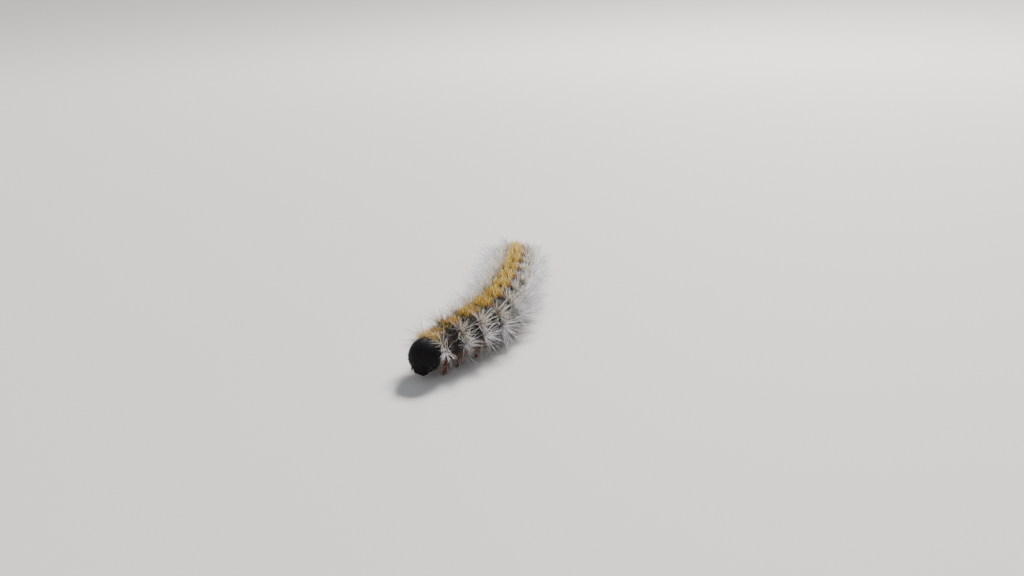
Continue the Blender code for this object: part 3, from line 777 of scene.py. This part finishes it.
def head_to_world(points):
    """Head coordinates in mm, left, back and up from the capsule's middle, turned and placed in metres."""
    foot, back, left = spine_frame(np.array(HEAD_LENGTH / 2))
    tilt, roll = math.radians(-HEAD_TILT_DEG), math.radians(HEAD_ROLL_DEG)
    deep = points[..., 1:2] * math.cos(tilt) - points[..., 2:] * math.sin(tilt)
    high = points[..., 1:2] * math.sin(tilt) + points[..., 2:] * math.cos(tilt)
    aside = points[..., :1] * math.cos(roll) + high * math.sin(roll)
    high = high * math.cos(roll) - points[..., :1] * math.sin(roll)
    return (foot + left * aside + back * deep + UP * (high + HEAD_CENTRE_HEIGHT)) * MM


def capsule(direction):
    """The shell in mm along unit directions: a rounded form of two lobes with a seam and a plate over the mouth."""
    x, y, z = direction[..., 0], direction[..., 1], direction[..., 2]
    narrowing = 1 - CHIN_NARROWING * np.maximum(0.0, -z) ** 2
    point = direction * HEAD_HALF_SIZES
    point[..., 0] *= narrowing
    aside, up = np.abs(point[..., 0]), point[..., 2]
    front_and_top = np.clip(0.6 - 0.8 * y + 0.5 * z, 0.0, 1.0)
    front = smoothstep(0.1, -0.35, y)
    above = smoothstep(-0.1, 0.35, up)
    groove = bell(aside, 0.36) * front_and_top * (0.35 + 0.65 * above)
    plate = front * smoothstep(0.10, -0.15, aside - plate_edge(up)) * smoothstep(PLATE_BOTTOM, -1.15, up)
    lip = front * bell(up + 1.50, 0.12) * smoothstep(0.95, 0.75, aside)
    cheek = bell(up + 1.0, 0.6) * bell(aside - 1.5, 0.5)
    grain = np.sin(21 * x + 5 * np.sin(9 * z)) * np.sin(19 * z + 4 * np.sin(11 * y))
    grain *= np.sin(23 * y + 3 * np.sin(8 * x))
    height = LIP_HEIGHT * lip + CHEEK_HEIGHT * cheek + GRAIN_HEIGHT * grain
    height -= GROOVE_DEPTH * groove + SEAM_DEPTH * head_seam(point, y) + PLATE_DEPTH * plate
    point *= 1 + (height / np.linalg.norm(point, axis=-1))[..., None]
    point[..., 2] = np.maximum(point[..., 2], MOUTH_LEVEL)
    return point


def plate_edge(up):
    """How far out in mm the slanted edge of the plate over the mouth is at a height."""
    return PLATE_SLANT * (BROW_HEIGHT - up)


def head_seam(point, y):
    """Nearness to the seam: down the middle to the brow, then parting in two slanted lines to the feelers."""
    aside, up = np.abs(point[..., 0]), point[..., 2]
    middle = bell(aside, 0.05) * smoothstep(0.30, 0.40, up)
    branch = bell((aside - plate_edge(up)) * 0.83, 0.05)
    branch *= smoothstep(0.40, 0.30, up) * smoothstep(PLATE_BOTTOM, -1.2, up)
    base = bell(up + 1.33, 0.045) * smoothstep(1.05, 0.9, aside)
    return np.maximum(np.maximum(middle, branch), base) * smoothstep(0.5, 0.1, y)


def aim_from(lift_deg, turn_deg, sign):
    """The head direction that is lift_deg above level and turn_deg round from the face to one side."""
    lift, turn = np.radians(lift_deg), np.radians(turn_deg)
    return np.stack([sign * np.sin(turn) * np.cos(lift), -np.cos(turn) * np.cos(lift), np.sin(lift)], -1)


class LARVA_OT_head(LarvaOperator, bpy.types.Operator):
    """The black head capsule with its branching seam"""

    bl_idname = "larva.head"
    bl_label = "Head capsule"
    rows, columns = 180, 240

    def execute(self, context):
        aim = sphere(self.rows, self.columns)
        local = capsule(aim)
        points = head_to_world(local)
        foot, back, _ = spine_frame(np.array(HEAD_BACK))
        points = points - back * np.maximum(0.0, (points - foot * MM) @ back)[..., None]
        seam = head_seam(local, aim[..., 1])
        values = {"seam": np.concatenate([seam.ravel(), (0.0, 0.0)])}
        settings = context.scene.larva_head
        shell = shell_finish(settings)
        add_piece("head_capsule", closed_rings(points), shell, ("head",), values)
        return {"FINISHED"}


class LARVA_OT_eyes(LarvaOperator, bpy.types.Operator):
    """The twelve single eyes, six low on each side of the head"""

    bl_idname = "larva.eyes"
    bl_label = "Single eyes"

    def execute(self, context):
        settings = context.scene.larva_head
        radius = settings.eye_radius / MM
        ball = sphere(14, 28)
        shapes, tips = [], []
        for _, sign in SIDES:
            for lift, round_by in STEMMATA:
                aim = aim_from(lift, round_by, sign)
                centre = capsule(aim[None])[0]
                shapes.append(closed_rings(head_to_world(centre - aim * radius * 0.45 + ball * radius)))
                facing = smoothstep(0.75, 1.0, (ball @ aim))
                tips.append(np.concatenate([facing.ravel(), (0.0, 0.0)]))
        values = {"tip": np.concatenate(tips)}
        add_piece("single_eyes", join(shapes), eye_finish(), values=values)
        return {"FINISHED"}


def plate_shape(rows, rings, sides, notch=0.0):
    """A closed mouth plate through rows of (share, y, z, half across, half deep), its lower edge notched."""
    rows = np.array(rows)
    share = np.linspace(0.0, 1.0, rings)
    y, z, across, deep = (hermite(rows[:, [0, k]], share)[:, None] for k in (1, 2, 3, 4))
    turn = (2 * np.pi * np.arange(sides) / sides)[None, :]
    round_off = np.maximum(1e-3, np.clip(1 - share, 0, 1) ** 0.35)[:, None]
    cos, sin = np.cos(turn), np.sin(turn)
    x = across * np.sign(cos) * np.abs(cos) ** 0.7 * round_off
    depth = y + deep * np.sign(sin) * np.abs(sin) ** 0.8 * round_off
    lift = notch * bell(x, 0.16) * share[:, None] ** 2
    return closed_rings(np.stack([x, depth, z + lift + 0 * x], -1))


def joint_tips(count, sides, first, power=1.0):
    """How far towards its tip each ring of a tube is, from 0 before first, for the darker end."""
    share = np.clip((np.linspace(0.0, 1.0, count) - first) / (1 - first), 0, 1) ** power
    return np.concatenate([np.repeat(share, sides), (share[0], share[-1])])


def mirrored(rows, sign):
    """Rows of (share, x, y, z, half width) of the left side on the side of sign."""
    return np.array(rows) * (1, sign, 1, 1, 1)


class LARVA_OT_mouth(LarvaOperator, bpy.types.Operator):
    """The notched upper lip, the jaws, the feelers, and the lower lip with its palps and silk spinneret"""

    bl_idname = "larva.mouth"
    bl_label = "Mouthparts"
    # Share of the plate, mm back and up to its middle, and its half width and half depth there.
    labrum = ((0.0, -0.82, -1.60, 0.76, 0.34), (0.35, -0.86, -1.90, 0.70, 0.30),
              (0.7, -0.84, -2.12, 0.58, 0.24), (1.0, -0.80, -2.30, 0.44, 0.14))
    # Share of each tube, mm left, back and up to its middle on the left side, and its half width there.
    jaw = ((0.0, 0.64, -0.05, -1.50, 0.36), (0.3, 0.66, -0.12, -1.76, 0.40), (0.65, 0.54, -0.28, -2.00, 0.33),
           (0.88, 0.34, -0.42, -2.18, 0.20), (1.0, 0.20, -0.48, -2.28, 0.05))
    # A broad base, two narrower joints and a bristle.
    feeler = ((0.0, 0.88, -0.76, -1.45, 0.18), (0.22, 0.89, -0.85, -1.68, 0.17), (0.27, 0.89, -0.87, -1.73, 0.11),
              (0.55, 0.86, -0.90, -1.90, 0.10), (0.60, 0.85, -0.90, -1.93, 0.07),
              (0.80, 0.83, -0.90, -2.03, 0.055), (0.84, 0.82, -0.89, -2.06, 0.022),
              (1.0, 0.74, -0.86, -2.15, 0.004))
    pad = ((0.0, 0.0, 0.50, -1.55, 0.60), (0.5, 0.0, 0.50, -1.95, 0.56), (0.8, 0.0, 0.50, -2.15, 0.42),
           (1.0, 0.0, 0.50, -2.26, 0.10))
    spinneret = ((0.0, 0.0, 0.34, -2.0, 0.16), (0.5, 0.0, 0.28, -2.28, 0.11), (1.0, 0.0, 0.20, -2.45, 0.03))
    outer_palp = ((0.0, 0.52, 0.22, -1.6, 0.26), (0.35, 0.56, 0.10, -2.05, 0.23), (0.42, 0.55, 0.08, -2.08, 0.14),
                  (0.68, 0.54, 0.02, -2.22, 0.13), (0.74, 0.53, 0.01, -2.25, 0.09),
                  (1.0, 0.50, -0.02, -2.36, 0.05))
    inner_palp = ((0.0, 0.26, 0.36, -1.95, 0.11), (0.55, 0.27, 0.30, -2.20, 0.09),
                  (0.62, 0.27, 0.29, -2.23, 0.05), (1.0, 0.28, 0.26, -2.36, 0.02))

    def execute(self, context):
        shell = leg_finish(context.scene.larva_head, "Mouth shell", 0.03, 0.1)

        def add(name, shape, solid, tips):
            placed = outwards((head_to_world(shape[0]), *shape[1:]))
            add_piece(name, placed, shell, (solid,), {"tip": tips})

        add("labrum", plate_shape(self.labrum, 28, 40, 0.16), "labrum", joint_tips(28, 40, 0.55))
        shapes = [tube(self.pad, 20, 28, 0.7, (1.0, 0.0, 0.0)), tube(self.spinneret, 12, 14)]
        for side, sign in SIDES:
            jaw = tube(mirrored(self.jaw, sign), 26, 20, 0.8)
            add(f"mandible_{side}", jaw, f"mandible_{side}", joint_tips(26, 20, 0.3))
            feeler = tube(mirrored(self.feeler, sign), 44, 16)
            add(f"antenna_{side}", feeler, f"antenna_{side}", joint_tips(44, 16, 0.5))
            shapes += [tube(mirrored(self.outer_palp, sign), 26, 14), tube(mirrored(self.inner_palp, sign), 16, 10)]
        lip = join(shapes)
        add("lower_lip", lip, "spinneret", np.clip((-1.9 - lip[0][:, 2]) / 0.8, 0, 1))
        return {"FINISHED"}


class LARVA_OT_legs(LarvaOperator, bpy.types.Operator):
    """The six jointed true legs, each with a curved claw"""

    bl_idname = "larva.legs"
    bl_label = "True legs"
    rings, sides = 72, 22
    # How far each pair reaches forwards, as a share of the rows' own reach.
    stride = {"prothorax": 1.7, "mesothorax": 1.2, "metathorax": 1.0}
    joints = (0.30, 0.55, 0.76)
    # Share of the leg, mm out, mm back and height of its middle, and its half width there.
    rows = (
        (0.00, 0.70, 0.16, 1.75, 0.66), (0.16, 0.98, 0.08, 1.40, 0.62), (0.26, 1.16, 0.00, 1.18, 0.50),
        (0.30, 1.22, -0.03, 1.10, 0.40), (0.36, 1.30, -0.08, 1.00, 0.42), (0.50, 1.46, -0.20, 0.74, 0.36),
        (0.55, 1.49, -0.24, 0.66, 0.27), (0.60, 1.51, -0.28, 0.58, 0.29), (0.72, 1.50, -0.38, 0.38, 0.24),
        (0.76, 1.48, -0.42, 0.32, 0.16), (0.80, 1.47, -0.45, 0.27, 0.17), (0.90, 1.42, -0.55, 0.16, 0.12),
        (0.94, 1.39, -0.60, 0.13, 0.06), (1.00, 1.30, -0.64, 0.03, 0.006),
    )

    def execute(self, context):
        material = leg_finish(context.scene.larva_head)
        for name in THORAX:
            middle = MIDDLES[NAMES.index(name)]
            reach = np.array((1.0, 1.0, self.stride[name], 1.0, 1.0))
            for side, sign in SIDES:
                placed = mirrored(self.rows, sign) * reach + (0, 0, middle, 0, 0)
                points, quads, triangles = tube(placed, self.rings, self.sides)
                points[:, 2] = np.maximum(points[:, 2], 0.01)
                shape = outwards((to_world(points), quads, triangles))
                share = np.linspace(0, 1, self.rings)
                joints = sum(bell(share - at, 0.02) for at in self.joints)
                dark = np.maximum(smoothstep(0.80, 0.97, share), 0.6 * joints)
                tips = np.concatenate([np.repeat(dark, self.sides), dark[[0, -1]]])
                add_piece(f"leg_{name}_{side}", shape, material, (f"leg_{name}_{side}",), {"tip": tips})
        return {"FINISHED"}


def hair_shapes(root, aim, bend, length, half, place_map):
    """Needles of three rings, a tip and a root cap, each bent as root + length (aim t + bend t squared)."""
    count = len(root)
    t = HAIR_PLACES[None, :, None]
    middle = root[:, None] + length[:, None, None] * (aim[:, None] * t + bend[:, None] * t * t)
    tangent = unit(aim[:, None] + 2 * t * bend[:, None])
    across = unit(np.cross(tangent, UP + 0.37 * ALONG + 0.21))
    deep = np.cross(tangent, across)
    turn = (2 * np.pi * np.arange(HAIR_SIDES) / HAIR_SIDES)[None, None, :, None]
    wide = half[:, None, None, None] * HAIR_TAPER[None, :, None, None]
    ring = middle[:, :, None] + wide * (np.cos(turn) * across[:, :, None] + np.sin(turn) * deep[:, :, None])
    tip = root + length[:, None] * (aim + bend)
    points = np.concatenate([ring.reshape(count, -1, 3), tip[:, None]], 1)
    side, following = np.arange(HAIR_SIDES), (np.arange(HAIR_SIDES) + 1) % HAIR_SIDES
    quads = ring_quads(len(HAIR_PLACES), HAIR_SIDES)
    last = (len(HAIR_PLACES) - 1) * HAIR_SIDES
    ends = np.stack([side + last, following + last, np.full(HAIR_SIDES, points.shape[1] - 1)], 1)
    triangles = np.concatenate([ends, [[2, 1, 0]]])
    offset = (np.arange(count) * points.shape[1])[:, None, None]
    quads, triangles = (quads + offset).reshape(-1, 4), (triangles + offset).reshape(-1, 3)
    return outwards((place_map(points.reshape(-1, 3)), quads, triangles))


def keep_in_box(root, aim, bend, length, place_map):
    """Shortens hairs until their tips and their bends lie inside the solids' box and above the floor."""
    low = np.array(CAD_BOX[0]) / MM + BOX_MARGIN
    high = np.array(CAD_BOX[1]) / MM - BOX_MARGIN
    for _ in range(24):
        outside = np.zeros(len(length), bool)
        for t in (0.6, 1.0):
            point = place_map(root + length[:, None] * (aim * t + bend * t * t)) / MM
            outside |= ((point < low) | (point > high)).any(1)
        length = np.where(outside, length * 0.88, length)
    return length


def clear_of_head(root, aim, bend, length):
    """Bends hairs away from the head's middle until no part of them lies in its oval."""
    centre = np.array((0.0, HEAD_LENGTH / 2, HEAD_CENTRE_HEIGHT))
    for t in (0.4, 0.7, 1.0) * 10:
        away = root + length[:, None] * (aim * t + bend * t * t) - centre
        inside = np.linalg.norm(away / (HEAD_HALF_SIZES + HEAD_CLEARANCE), axis=1) < 1
        bend = bend + HEAD_BEND * unit(away) * inside[:, None]
    return bend


def add_hairs(name, root, aim, bend, length, half, bake_place, chance, material, under=None,
              place_map=to_world):
    """Coat pieces of at most HAIRS_A_PIECE hairs, each hair a patch on the bake map at its root's place."""
    if place_map is to_world:
        bend = clear_of_head(root, aim, bend, length)
    length = keep_in_box(root, aim, bend, length, place_map)
    shade = chance.random(len(root))
    order = chance.permutation(len(root))
    parts = np.array_split(order, -(-len(root) // HAIRS_A_PIECE))
    per_hair = HAIR_SIDES * len(HAIR_PLACES) + 1
    tone = np.append(np.repeat(HAIR_PLACES, HAIR_SIDES), 1.0)
    patch = BAKE_PATCH * np.stack([np.append(np.tile(np.arange(3) / 3, 3), 0.33), tone], 1)
    for number, part in enumerate(parts, 1):
        shape = hair_shapes(root[part], aim[part], bend[part], length[part], half[part], place_map)
        values = {"tone": np.tile(tone, len(part)), "shade": np.repeat(shade[part], per_hair)}
        if under is not None:
            values["under"] = np.repeat(under[part], per_hair)
        spots = (bake_place[part][:, None] + patch[None]).reshape(-1, 2)
        title = name if len(parts) == 1 else f"{name}_{number}"
        add_piece(title, shape, material, values=values, corner_map=lambda corners: spots[corners])


def body_bake_place(place, angle_deg):
    """Where a root lies on the unwrapped skin."""
    return np.stack([(angle_deg / 360 + 0.5) * 0.98, place / (BODY_END + 1)], -1)


def wart_hairs(chance, tufts, length):
    """Hairs of one ring of warts on both sides, as tufts says. Roots lie in an oval round the wart. Aims part from
    the skin's own direction to any side, two in three of them drawn together into clumps, and then lean."""
    wart, on_side = tufts.wart, tufts.wart > BACK_WART
    shifts = WART_SHIFTS[:, round((wart - BACK_WART) / WART_SPACING)]
    thickness = SIDE_THICKNESS if on_side else BACK_THICKNESS
    place, angle, share, wart_number = [], [], [], []
    for i in range(RUMP if wart == FOOT_WART else len(SEGMENTS)):
        for _, sign in SIDES:
            size = min(1.0, LENGTHS[i] / FULL_TUFT_LENGTH)
            near = np.interp(i, *NEAR_THINNESS) if sign > 0 and on_side else 1.0
            number = int(tufts.count * size * near * np.interp(i, THICKNESS_PLACES, thickness))
            out, turn = np.sqrt(chance.random(number)), 2 * np.pi * chance.random(number)
            place.append(MIDDLES[i] + shifts[i] + tufts.radius[1] * out * np.cos(turn) * size)
            angle.append(sign * (wart + np.degrees(tufts.radius[0] * out * np.sin(turn) / SEGMENTS[i][2])))
            share.append(np.full(number, 0.72 + 0.28 * size))
            wart_number.append(np.full(number, len(wart_number)))
    place, angle, share, wart_number = (np.concatenate(part) for part in (place, angle, share, wart_number))
    point, normal = body_surface(place, angle)
    down = np.stack([normal[:, 2], np.zeros(len(angle)), -normal[:, 0]], 1) * np.sign(angle)[:, None]
    clump_draw = chance.random((wart_number[-1] + 1, tufts.clumps, 2))
    clump_draw = clump_draw[wart_number, chance.integers(0, tufts.clumps, len(angle))]
    own_draw = chance.random((len(angle), 2))
    clumped = chance.random((len(angle), 1)) < CLUMPED_SHARE
    draw = np.where(clumped, clump_draw + (own_draw - 0.5) * CLUMP_SPREAD, own_draw)
    least, most = tufts.cone
    opened = np.radians(least + (most - least) * np.clip(draw[:, :1], 0, 1) ** 0.8)
    turn = 2 * np.pi * draw[:, 1:]
    aside = down * np.cos(turn) + ALONG * np.sin(turn) * tufts.along_share
    combed = np.interp(place, COMBED_PLACES, COMBED_SHARES) * np.where(angle < 0, FAR_COMB, 1.0)
    combed *= chance.uniform(0.1, 1.9, len(angle))
    comb = tufts.lean[1] * combed[:, None] * ALONG
    aim = unit(normal * np.cos(opened) + aside * np.sin(opened) + down * tufts.lean[0] + comb)
    bend = -UP * tufts.droop + chance.normal(0.0, 0.045, (len(angle), 3)) + 0.4 * comb
    reach = length * share * (0.58 + 0.42 * chance.random(len(angle)) ** 0.8)
    reach = np.where(chance.random(len(angle)) < 0.05, reach * 1.3, reach)
    near_reach = np.interp(place, COMBED_PLACES, (1.0, 1.0, 0.95, NEAR_REACH))
    reach = reach * np.where(angle > wart / 2, near_reach, 1.0)
    return place, angle, point - normal * 0.02 - aim * 0.05, aim, bend, reach


def add_tufts(name, tufts, hairs, coat, chance, middle, tip, fineness=1.0):
    """A piece of the hairs that wart_hairs gives, from the tufts' root colour to middle and tip."""
    place, angle, root, aim, bend, reach = hairs
    half = coat.hair_width / MM / 2 * (tufts.stout[0] + tufts.stout[1] * chance.random(len(place))) * fineness
    material = hair_finish(tufts.title, colour(tufts.root), middle, tip, tufts.darker)
    add_hairs(name, root, aim, bend, reach, half, body_bake_place(place, angle), chance, material)


class LARVA_OT_back_hair(LarvaOperator, bpy.types.Operator):
    """The golden tufts along the back, shorter towards the head, with rust-brown hair at their feet"""

    bl_idname = "larva.back_hair"
    bl_label = "Golden back hair"

    def execute(self, context):
        coat = context.scene.larva_coat
        chance = np.random.default_rng(coat.seed)
        *hairs, reach = wart_hairs(chance, BACK_TUFTS, coat.back_length / MM)
        reach = reach * np.interp(hairs[0], *BACK_REACH) * (0.42 + 0.58 * chance.random(len(reach)) ** 1.5)
        hairs.append(reach)
        add_tufts("back_hair", BACK_TUFTS, hairs, coat, chance, colour(coat.gold), colour(coat.pale_gold))
        hairs = wart_hairs(chance, RUST_TUFTS, RUST_LENGTH)
        add_tufts("rust_hair", RUST_TUFTS, hairs, coat, chance, colour(RUST), colour(PALE_RUST))
        return {"FINISHED"}


class LARVA_OT_shoulder_hair(LarvaOperator, bpy.types.Operator):
    """The fans of hair on both shoulders of every segment, cream above and white below"""

    bl_idname = "larva.shoulder_hair"
    bl_label = "Cream shoulder hair"

    def execute(self, context):
        coat = context.scene.larva_coat
        chance = np.random.default_rng(coat.seed + 1)
        *hairs, reach = wart_hairs(chance, SHOULDER_TUFTS, coat.shoulder_length / MM)
        hairs.append(reach * np.interp(hairs[0], *SHOULDER_REACH))
        add_tufts("shoulder_hair", SHOULDER_TUFTS, hairs, coat, chance, colour(coat.cream), colour(coat.white),
                  np.interp(hairs[0], *FINENESS))
        return {"FINISHED"}


class LARVA_OT_flank_hair(LarvaOperator, bpy.types.Operator):
    """The long white hair that stands out in stars from the flanks"""

    bl_idname = "larva.flank_hair"
    bl_label = "White flank hair"

    def execute(self, context):
        coat = context.scene.larva_coat
        chance = np.random.default_rng(coat.seed + 2)
        *hairs, reach = wart_hairs(chance, FLANK_TUFTS, coat.flank_length / MM)
        hairs.append(reach * np.interp(hairs[0], *FLANK_REACH))
        add_tufts("flank_hair", FLANK_TUFTS, hairs, coat, chance, colour(coat.white), colour(coat.white),
                  np.interp(hairs[0], *FINENESS))
        return {"FINISHED"}


class LARVA_OT_low_hair(LarvaOperator, bpy.types.Operator):
    """The sparse greyish hair above the feet"""

    bl_idname = "larva.low_hair"
    bl_label = "Low grey hair"

    def execute(self, context):
        coat = context.scene.larva_coat
        chance = np.random.default_rng(coat.seed + 3)
        hairs = wart_hairs(chance, LOW_TUFTS, coat.foot_length / MM)
        add_tufts("low_hair", LOW_TUFTS, hairs, coat, chance, colour(coat.grey), colour(coat.white))
        return {"FINISHED"}


def fringe_hairs(chance, fringe):
    """Hairs of a band round the body that lean past its end: forwards where way is -1, backwards where it is 1."""
    count = fringe.count
    place = chance.uniform(*fringe.places, count)
    angle = chance.uniform(*fringe.angles, count)
    point, normal = body_surface(place, angle)
    lean_by = fringe.way * chance.uniform(0.6, 1.2, count)[:, None] * fringe.lean
    aim = unit(normal + ALONG * lean_by + chance.normal(0, 0.16, (count, 3)))
    bend = np.array((0.0, fringe.way * 0.10, -fringe.droop)) + chance.normal(0, 0.05, (count, 3))
    reach = fringe.length * (0.55 + 0.45 * chance.random(count))
    return place, angle, point - normal * 0.05, aim, bend, reach


class LARVA_OT_fringes(LarvaOperator, bpy.types.Operator):
    """The golden fringe over the head and the white fringe behind the last segment"""

    bl_idname = "larva.fringes"
    bl_label = "Head and tail fringes"

    def execute(self, context):
        coat = context.scene.larva_coat
        chance = np.random.default_rng(coat.seed + 4)
        colours = ((NECK_FRINGE, NECK_GOLD, PALE_NECK_GOLD), (TAIL_FRINGE, coat.white, coat.white))
        for fringe, middle, tip in colours:
            hairs = fringe_hairs(chance, fringe)
            add_tufts(fringe.name, fringe, hairs, coat, chance, colour(middle), colour(tip))
        return {"FINISHED"}


class LARVA_OT_fuzz(LarvaOperator, bpy.types.Operator):
    """The short dense fuzz between the warts, dark over the bands and tan below"""

    bl_idname = "larva.fuzz"
    bl_label = "Short fuzz"
    count = 19000

    def execute(self, context):
        coat = context.scene.larva_coat
        chance = np.random.default_rng(coat.seed + 5)
        place = chance.uniform(STARTS[0] + 0.2, BODY_END - 0.3, self.count)
        angle = 150.0 * (2 * chance.random(self.count) - 1)
        point, normal = body_surface(place, angle)
        aim = unit(normal + ALONG * 0.7 + chance.normal(0, 0.35, (self.count, 3)))
        bend = -UP * 0.04 + chance.normal(0, 0.08, (self.count, 3))
        reach = 0.35 + 0.65 * chance.random(self.count)
        half = coat.hair_width / MM / 2 * (0.4 + 0.3 * chance.random(self.count))
        finish = Finish("Short fuzz", Roughness=0.5)
        tint = finish.mix(finish.value("under"), colour((0.30, 0.21, 0.16)), colour((0.060, 0.045, 0.030)))
        pale = finish.spread(finish.value("shade"), 0.93, 0.97)
        finish.set("Base Color", finish.mix(pale, tint, colour(coat.cream)))
        dark = skin_marks(place, angle)["dark"]
        add_hairs("fuzz", point - normal * 0.03 - aim * 0.02, aim, bend, reach, half, body_bake_place(place, angle),
                  chance, finish.material, dark)
        return {"FINISHED"}


class LARVA_OT_head_hair(LarvaOperator, bpy.types.Operator):
    """The sparse fine hairs of the head capsule"""

    bl_idname = "larva.head_hair"
    bl_label = "Head hairs"
    count = 90

    def execute(self, context):
        coat = context.scene.larva_coat
        chance = np.random.default_rng(coat.seed + 6)
        lift = np.degrees(np.arcsin(chance.uniform(-0.62, 0.95, self.count)))
        turn = chance.uniform(8.0, 112.0, self.count)
        sign = np.where(chance.random(self.count) < 0.5, -1.0, 1.0)
        direction = aim_from(lift, turn, sign)
        root = capsule(direction)
        normal = unit(direction / HEAD_HALF_SIZES)
        aim = unit(normal + chance.normal(0, 0.30, (self.count, 3)) - UP * 0.25)
        bend = -UP * 0.10 + chance.normal(0, 0.05, (self.count, 3))
        reach = 0.18 + 0.40 * chance.random(self.count) ** 2
        half = coat.hair_width / MM / 2 * (0.28 + 0.2 * chance.random(self.count))
        bake_place = np.stack([0.25 + 0.5 * (sign * turn + 180) / 360, 0.2 + 0.4 * (lift + 90) / 180], -1)
        material = hair_finish("Head hair", colour((0.02, 0.014, 0.012)), colour((0.05, 0.04, 0.035)),
                               colour((0.14, 0.12, 0.11)), (0.4, 0.4, 0.4))
        add_hairs("head_hair", root - aim * 0.03, aim, bend, reach, half, bake_place, chance, material,
                  place_map=head_to_world)
        return {"FINISHED"}


def aim_light(name, power, place, size, tint):
    """A square area light that looks at the larva."""
    data = bpy.data.lights.new(name, "AREA")
    data.size, data.energy, data.color = size, power, tint
    light = bpy.data.objects.new(name, data)
    light.location = place
    light.rotation_euler = (Vector((0.0, 0.0, 0.002)) - Vector(place)).to_track_quat("-Z", "Y").to_euler()
    bpy.context.scene.collection.objects.link(light)


class LARVA_OT_stage(LarvaOperator, bpy.types.Operator):
    """The pale floor that curves up far away, the soft lights and the camera"""

    bl_idname = "larva.stage"
    bl_label = "Stage"
    # The camera's place in metres, its degrees below level and its lens in mm on a sensor 36 mm wide.
    camera_place = (0.003524, -0.09351, 0.040618)
    camera_pitch_deg = 21.41
    lens = 23.602
    # Place in metres, size in metres and colour of the two lights, and the light of the room.
    key = ((0.46, 0.92, 1.10), 0.30, (1.0, 0.965, 0.92))
    fill = ((-0.48, -0.78, 0.66), 0.90, (0.93, 0.96, 1.0))
    room_colour, room_strength = (0.90, 0.93, 1.0, 1.0), 0.52
    # The floor is flat up to the first radius and rises to the second, all in metres.
    flat_radius, floor_radius, floor_rise = 0.35, 3.0, 1.35

    def execute(self, context):
        settings = context.scene.larva_stage
        out = np.linspace(0.05, self.floor_radius, 60)
        climb = np.maximum(0.0, out - self.flat_radius) / (self.floor_radius - self.flat_radius)
        rise = self.floor_rise * climb**3
        turn = np.arange(96) * 2 * np.pi / 96
        rings = np.stack([out[:, None] * np.cos(turn), out[:, None] * np.sin(turn), rise[:, None] + 0 * turn], -1)
        quads = ring_quads(len(out), len(turn))[:, [0, 3, 2, 1]].tolist()
        mesh = bpy.data.meshes.new("floor")
        mesh.from_pydata(rings.reshape(-1, 3).tolist(), [], [*quads, tuple(range(len(turn)))])
        mesh.shade_smooth()
        finish = Finish("Pale floor", Roughness=0.75)
        pale = colour(settings.floor_colour)
        finish.set("Base Color", finish.mix(finish.noise(0.05, 2.0), colour(pale, 0.97), pale))
        mesh.materials.append(finish.material)
        floor = bpy.data.objects.new("floor", mesh)
        context.scene.collection.objects.link(floor)
        aim_light("key_light", settings.key_power, *self.key)
        aim_light("fill_light", settings.fill_power, *self.fill)
        world = bpy.data.worlds.new("Pale room")
        context.scene.world = world
        world.use_nodes = True
        background = world.node_tree.nodes["Background"]
        background.inputs["Color"].default_value = self.room_colour
        background.inputs["Strength"].default_value = self.room_strength
        data = bpy.data.cameras.new("camera")
        data.sensor_width, data.lens, data.clip_start = 36.0, self.lens, 0.002
        camera = bpy.data.objects.new("camera", data)
        camera.location = self.camera_place
        camera.rotation_euler = (math.radians(90 - self.camera_pitch_deg), 0.0, 0.0)
        context.scene.collection.objects.link(camera)
        context.scene.camera = camera
        return {"FINISHED"}


class LARVA_PT_build(bpy.types.Panel):
    """The larva's sizes and colours, and a button for each step"""

    bl_idname = "LARVA_PT_build"
    bl_label = "Pine Processionary Larva"
    bl_space_type = "VIEW_3D"
    bl_region_type = "UI"
    bl_category = "Larva"

    def draw(self, context):
        scene = context.scene
        for group_name in GROUPS:
            group = getattr(scene, group_name)
            box = self.layout.box()
            box.label(text=group_name.split("_")[1].capitalize())
            for name in group.__annotations__:
                box.prop(group, name)
        for step in STEPS:
            self.layout.operator(step.bl_idname)


STEPS = (
    LARVA_OT_skin,
    LARVA_OT_feet,
    LARVA_OT_head,
    LARVA_OT_eyes,
    LARVA_OT_mouth,
    LARVA_OT_legs,
    LARVA_OT_back_hair,
    LARVA_OT_shoulder_hair,
    LARVA_OT_flank_hair,
    LARVA_OT_low_hair,
    LARVA_OT_fringes,
    LARVA_OT_fuzz,
    LARVA_OT_head_hair,
    LARVA_OT_stage,
)
GROUPS = {
    "larva_skin": LarvaSkinSettings,
    "larva_head": LarvaHeadSettings,
    "larva_coat": LarvaCoatSettings,
    "larva_stage": LarvaStageSettings,
}


def register():
    for made in (*GROUPS.values(), *STEPS, LARVA_PT_build):
        bpy.utils.register_class(made)
    for name, group in GROUPS.items():
        setattr(bpy.types.Scene, name, PointerProperty(type=group))


def unregister():
    for name in GROUPS:
        delattr(bpy.types.Scene, name)
    for made in (LARVA_PT_build, *reversed(STEPS), *reversed(GROUPS.values())):
        bpy.utils.unregister_class(made)


def main():
    register()
    for step in STEPS:
        area, name = step.bl_idname.split(".")
        getattr(getattr(bpy.ops, area), name)()


if __name__ == "__main__":
    main()
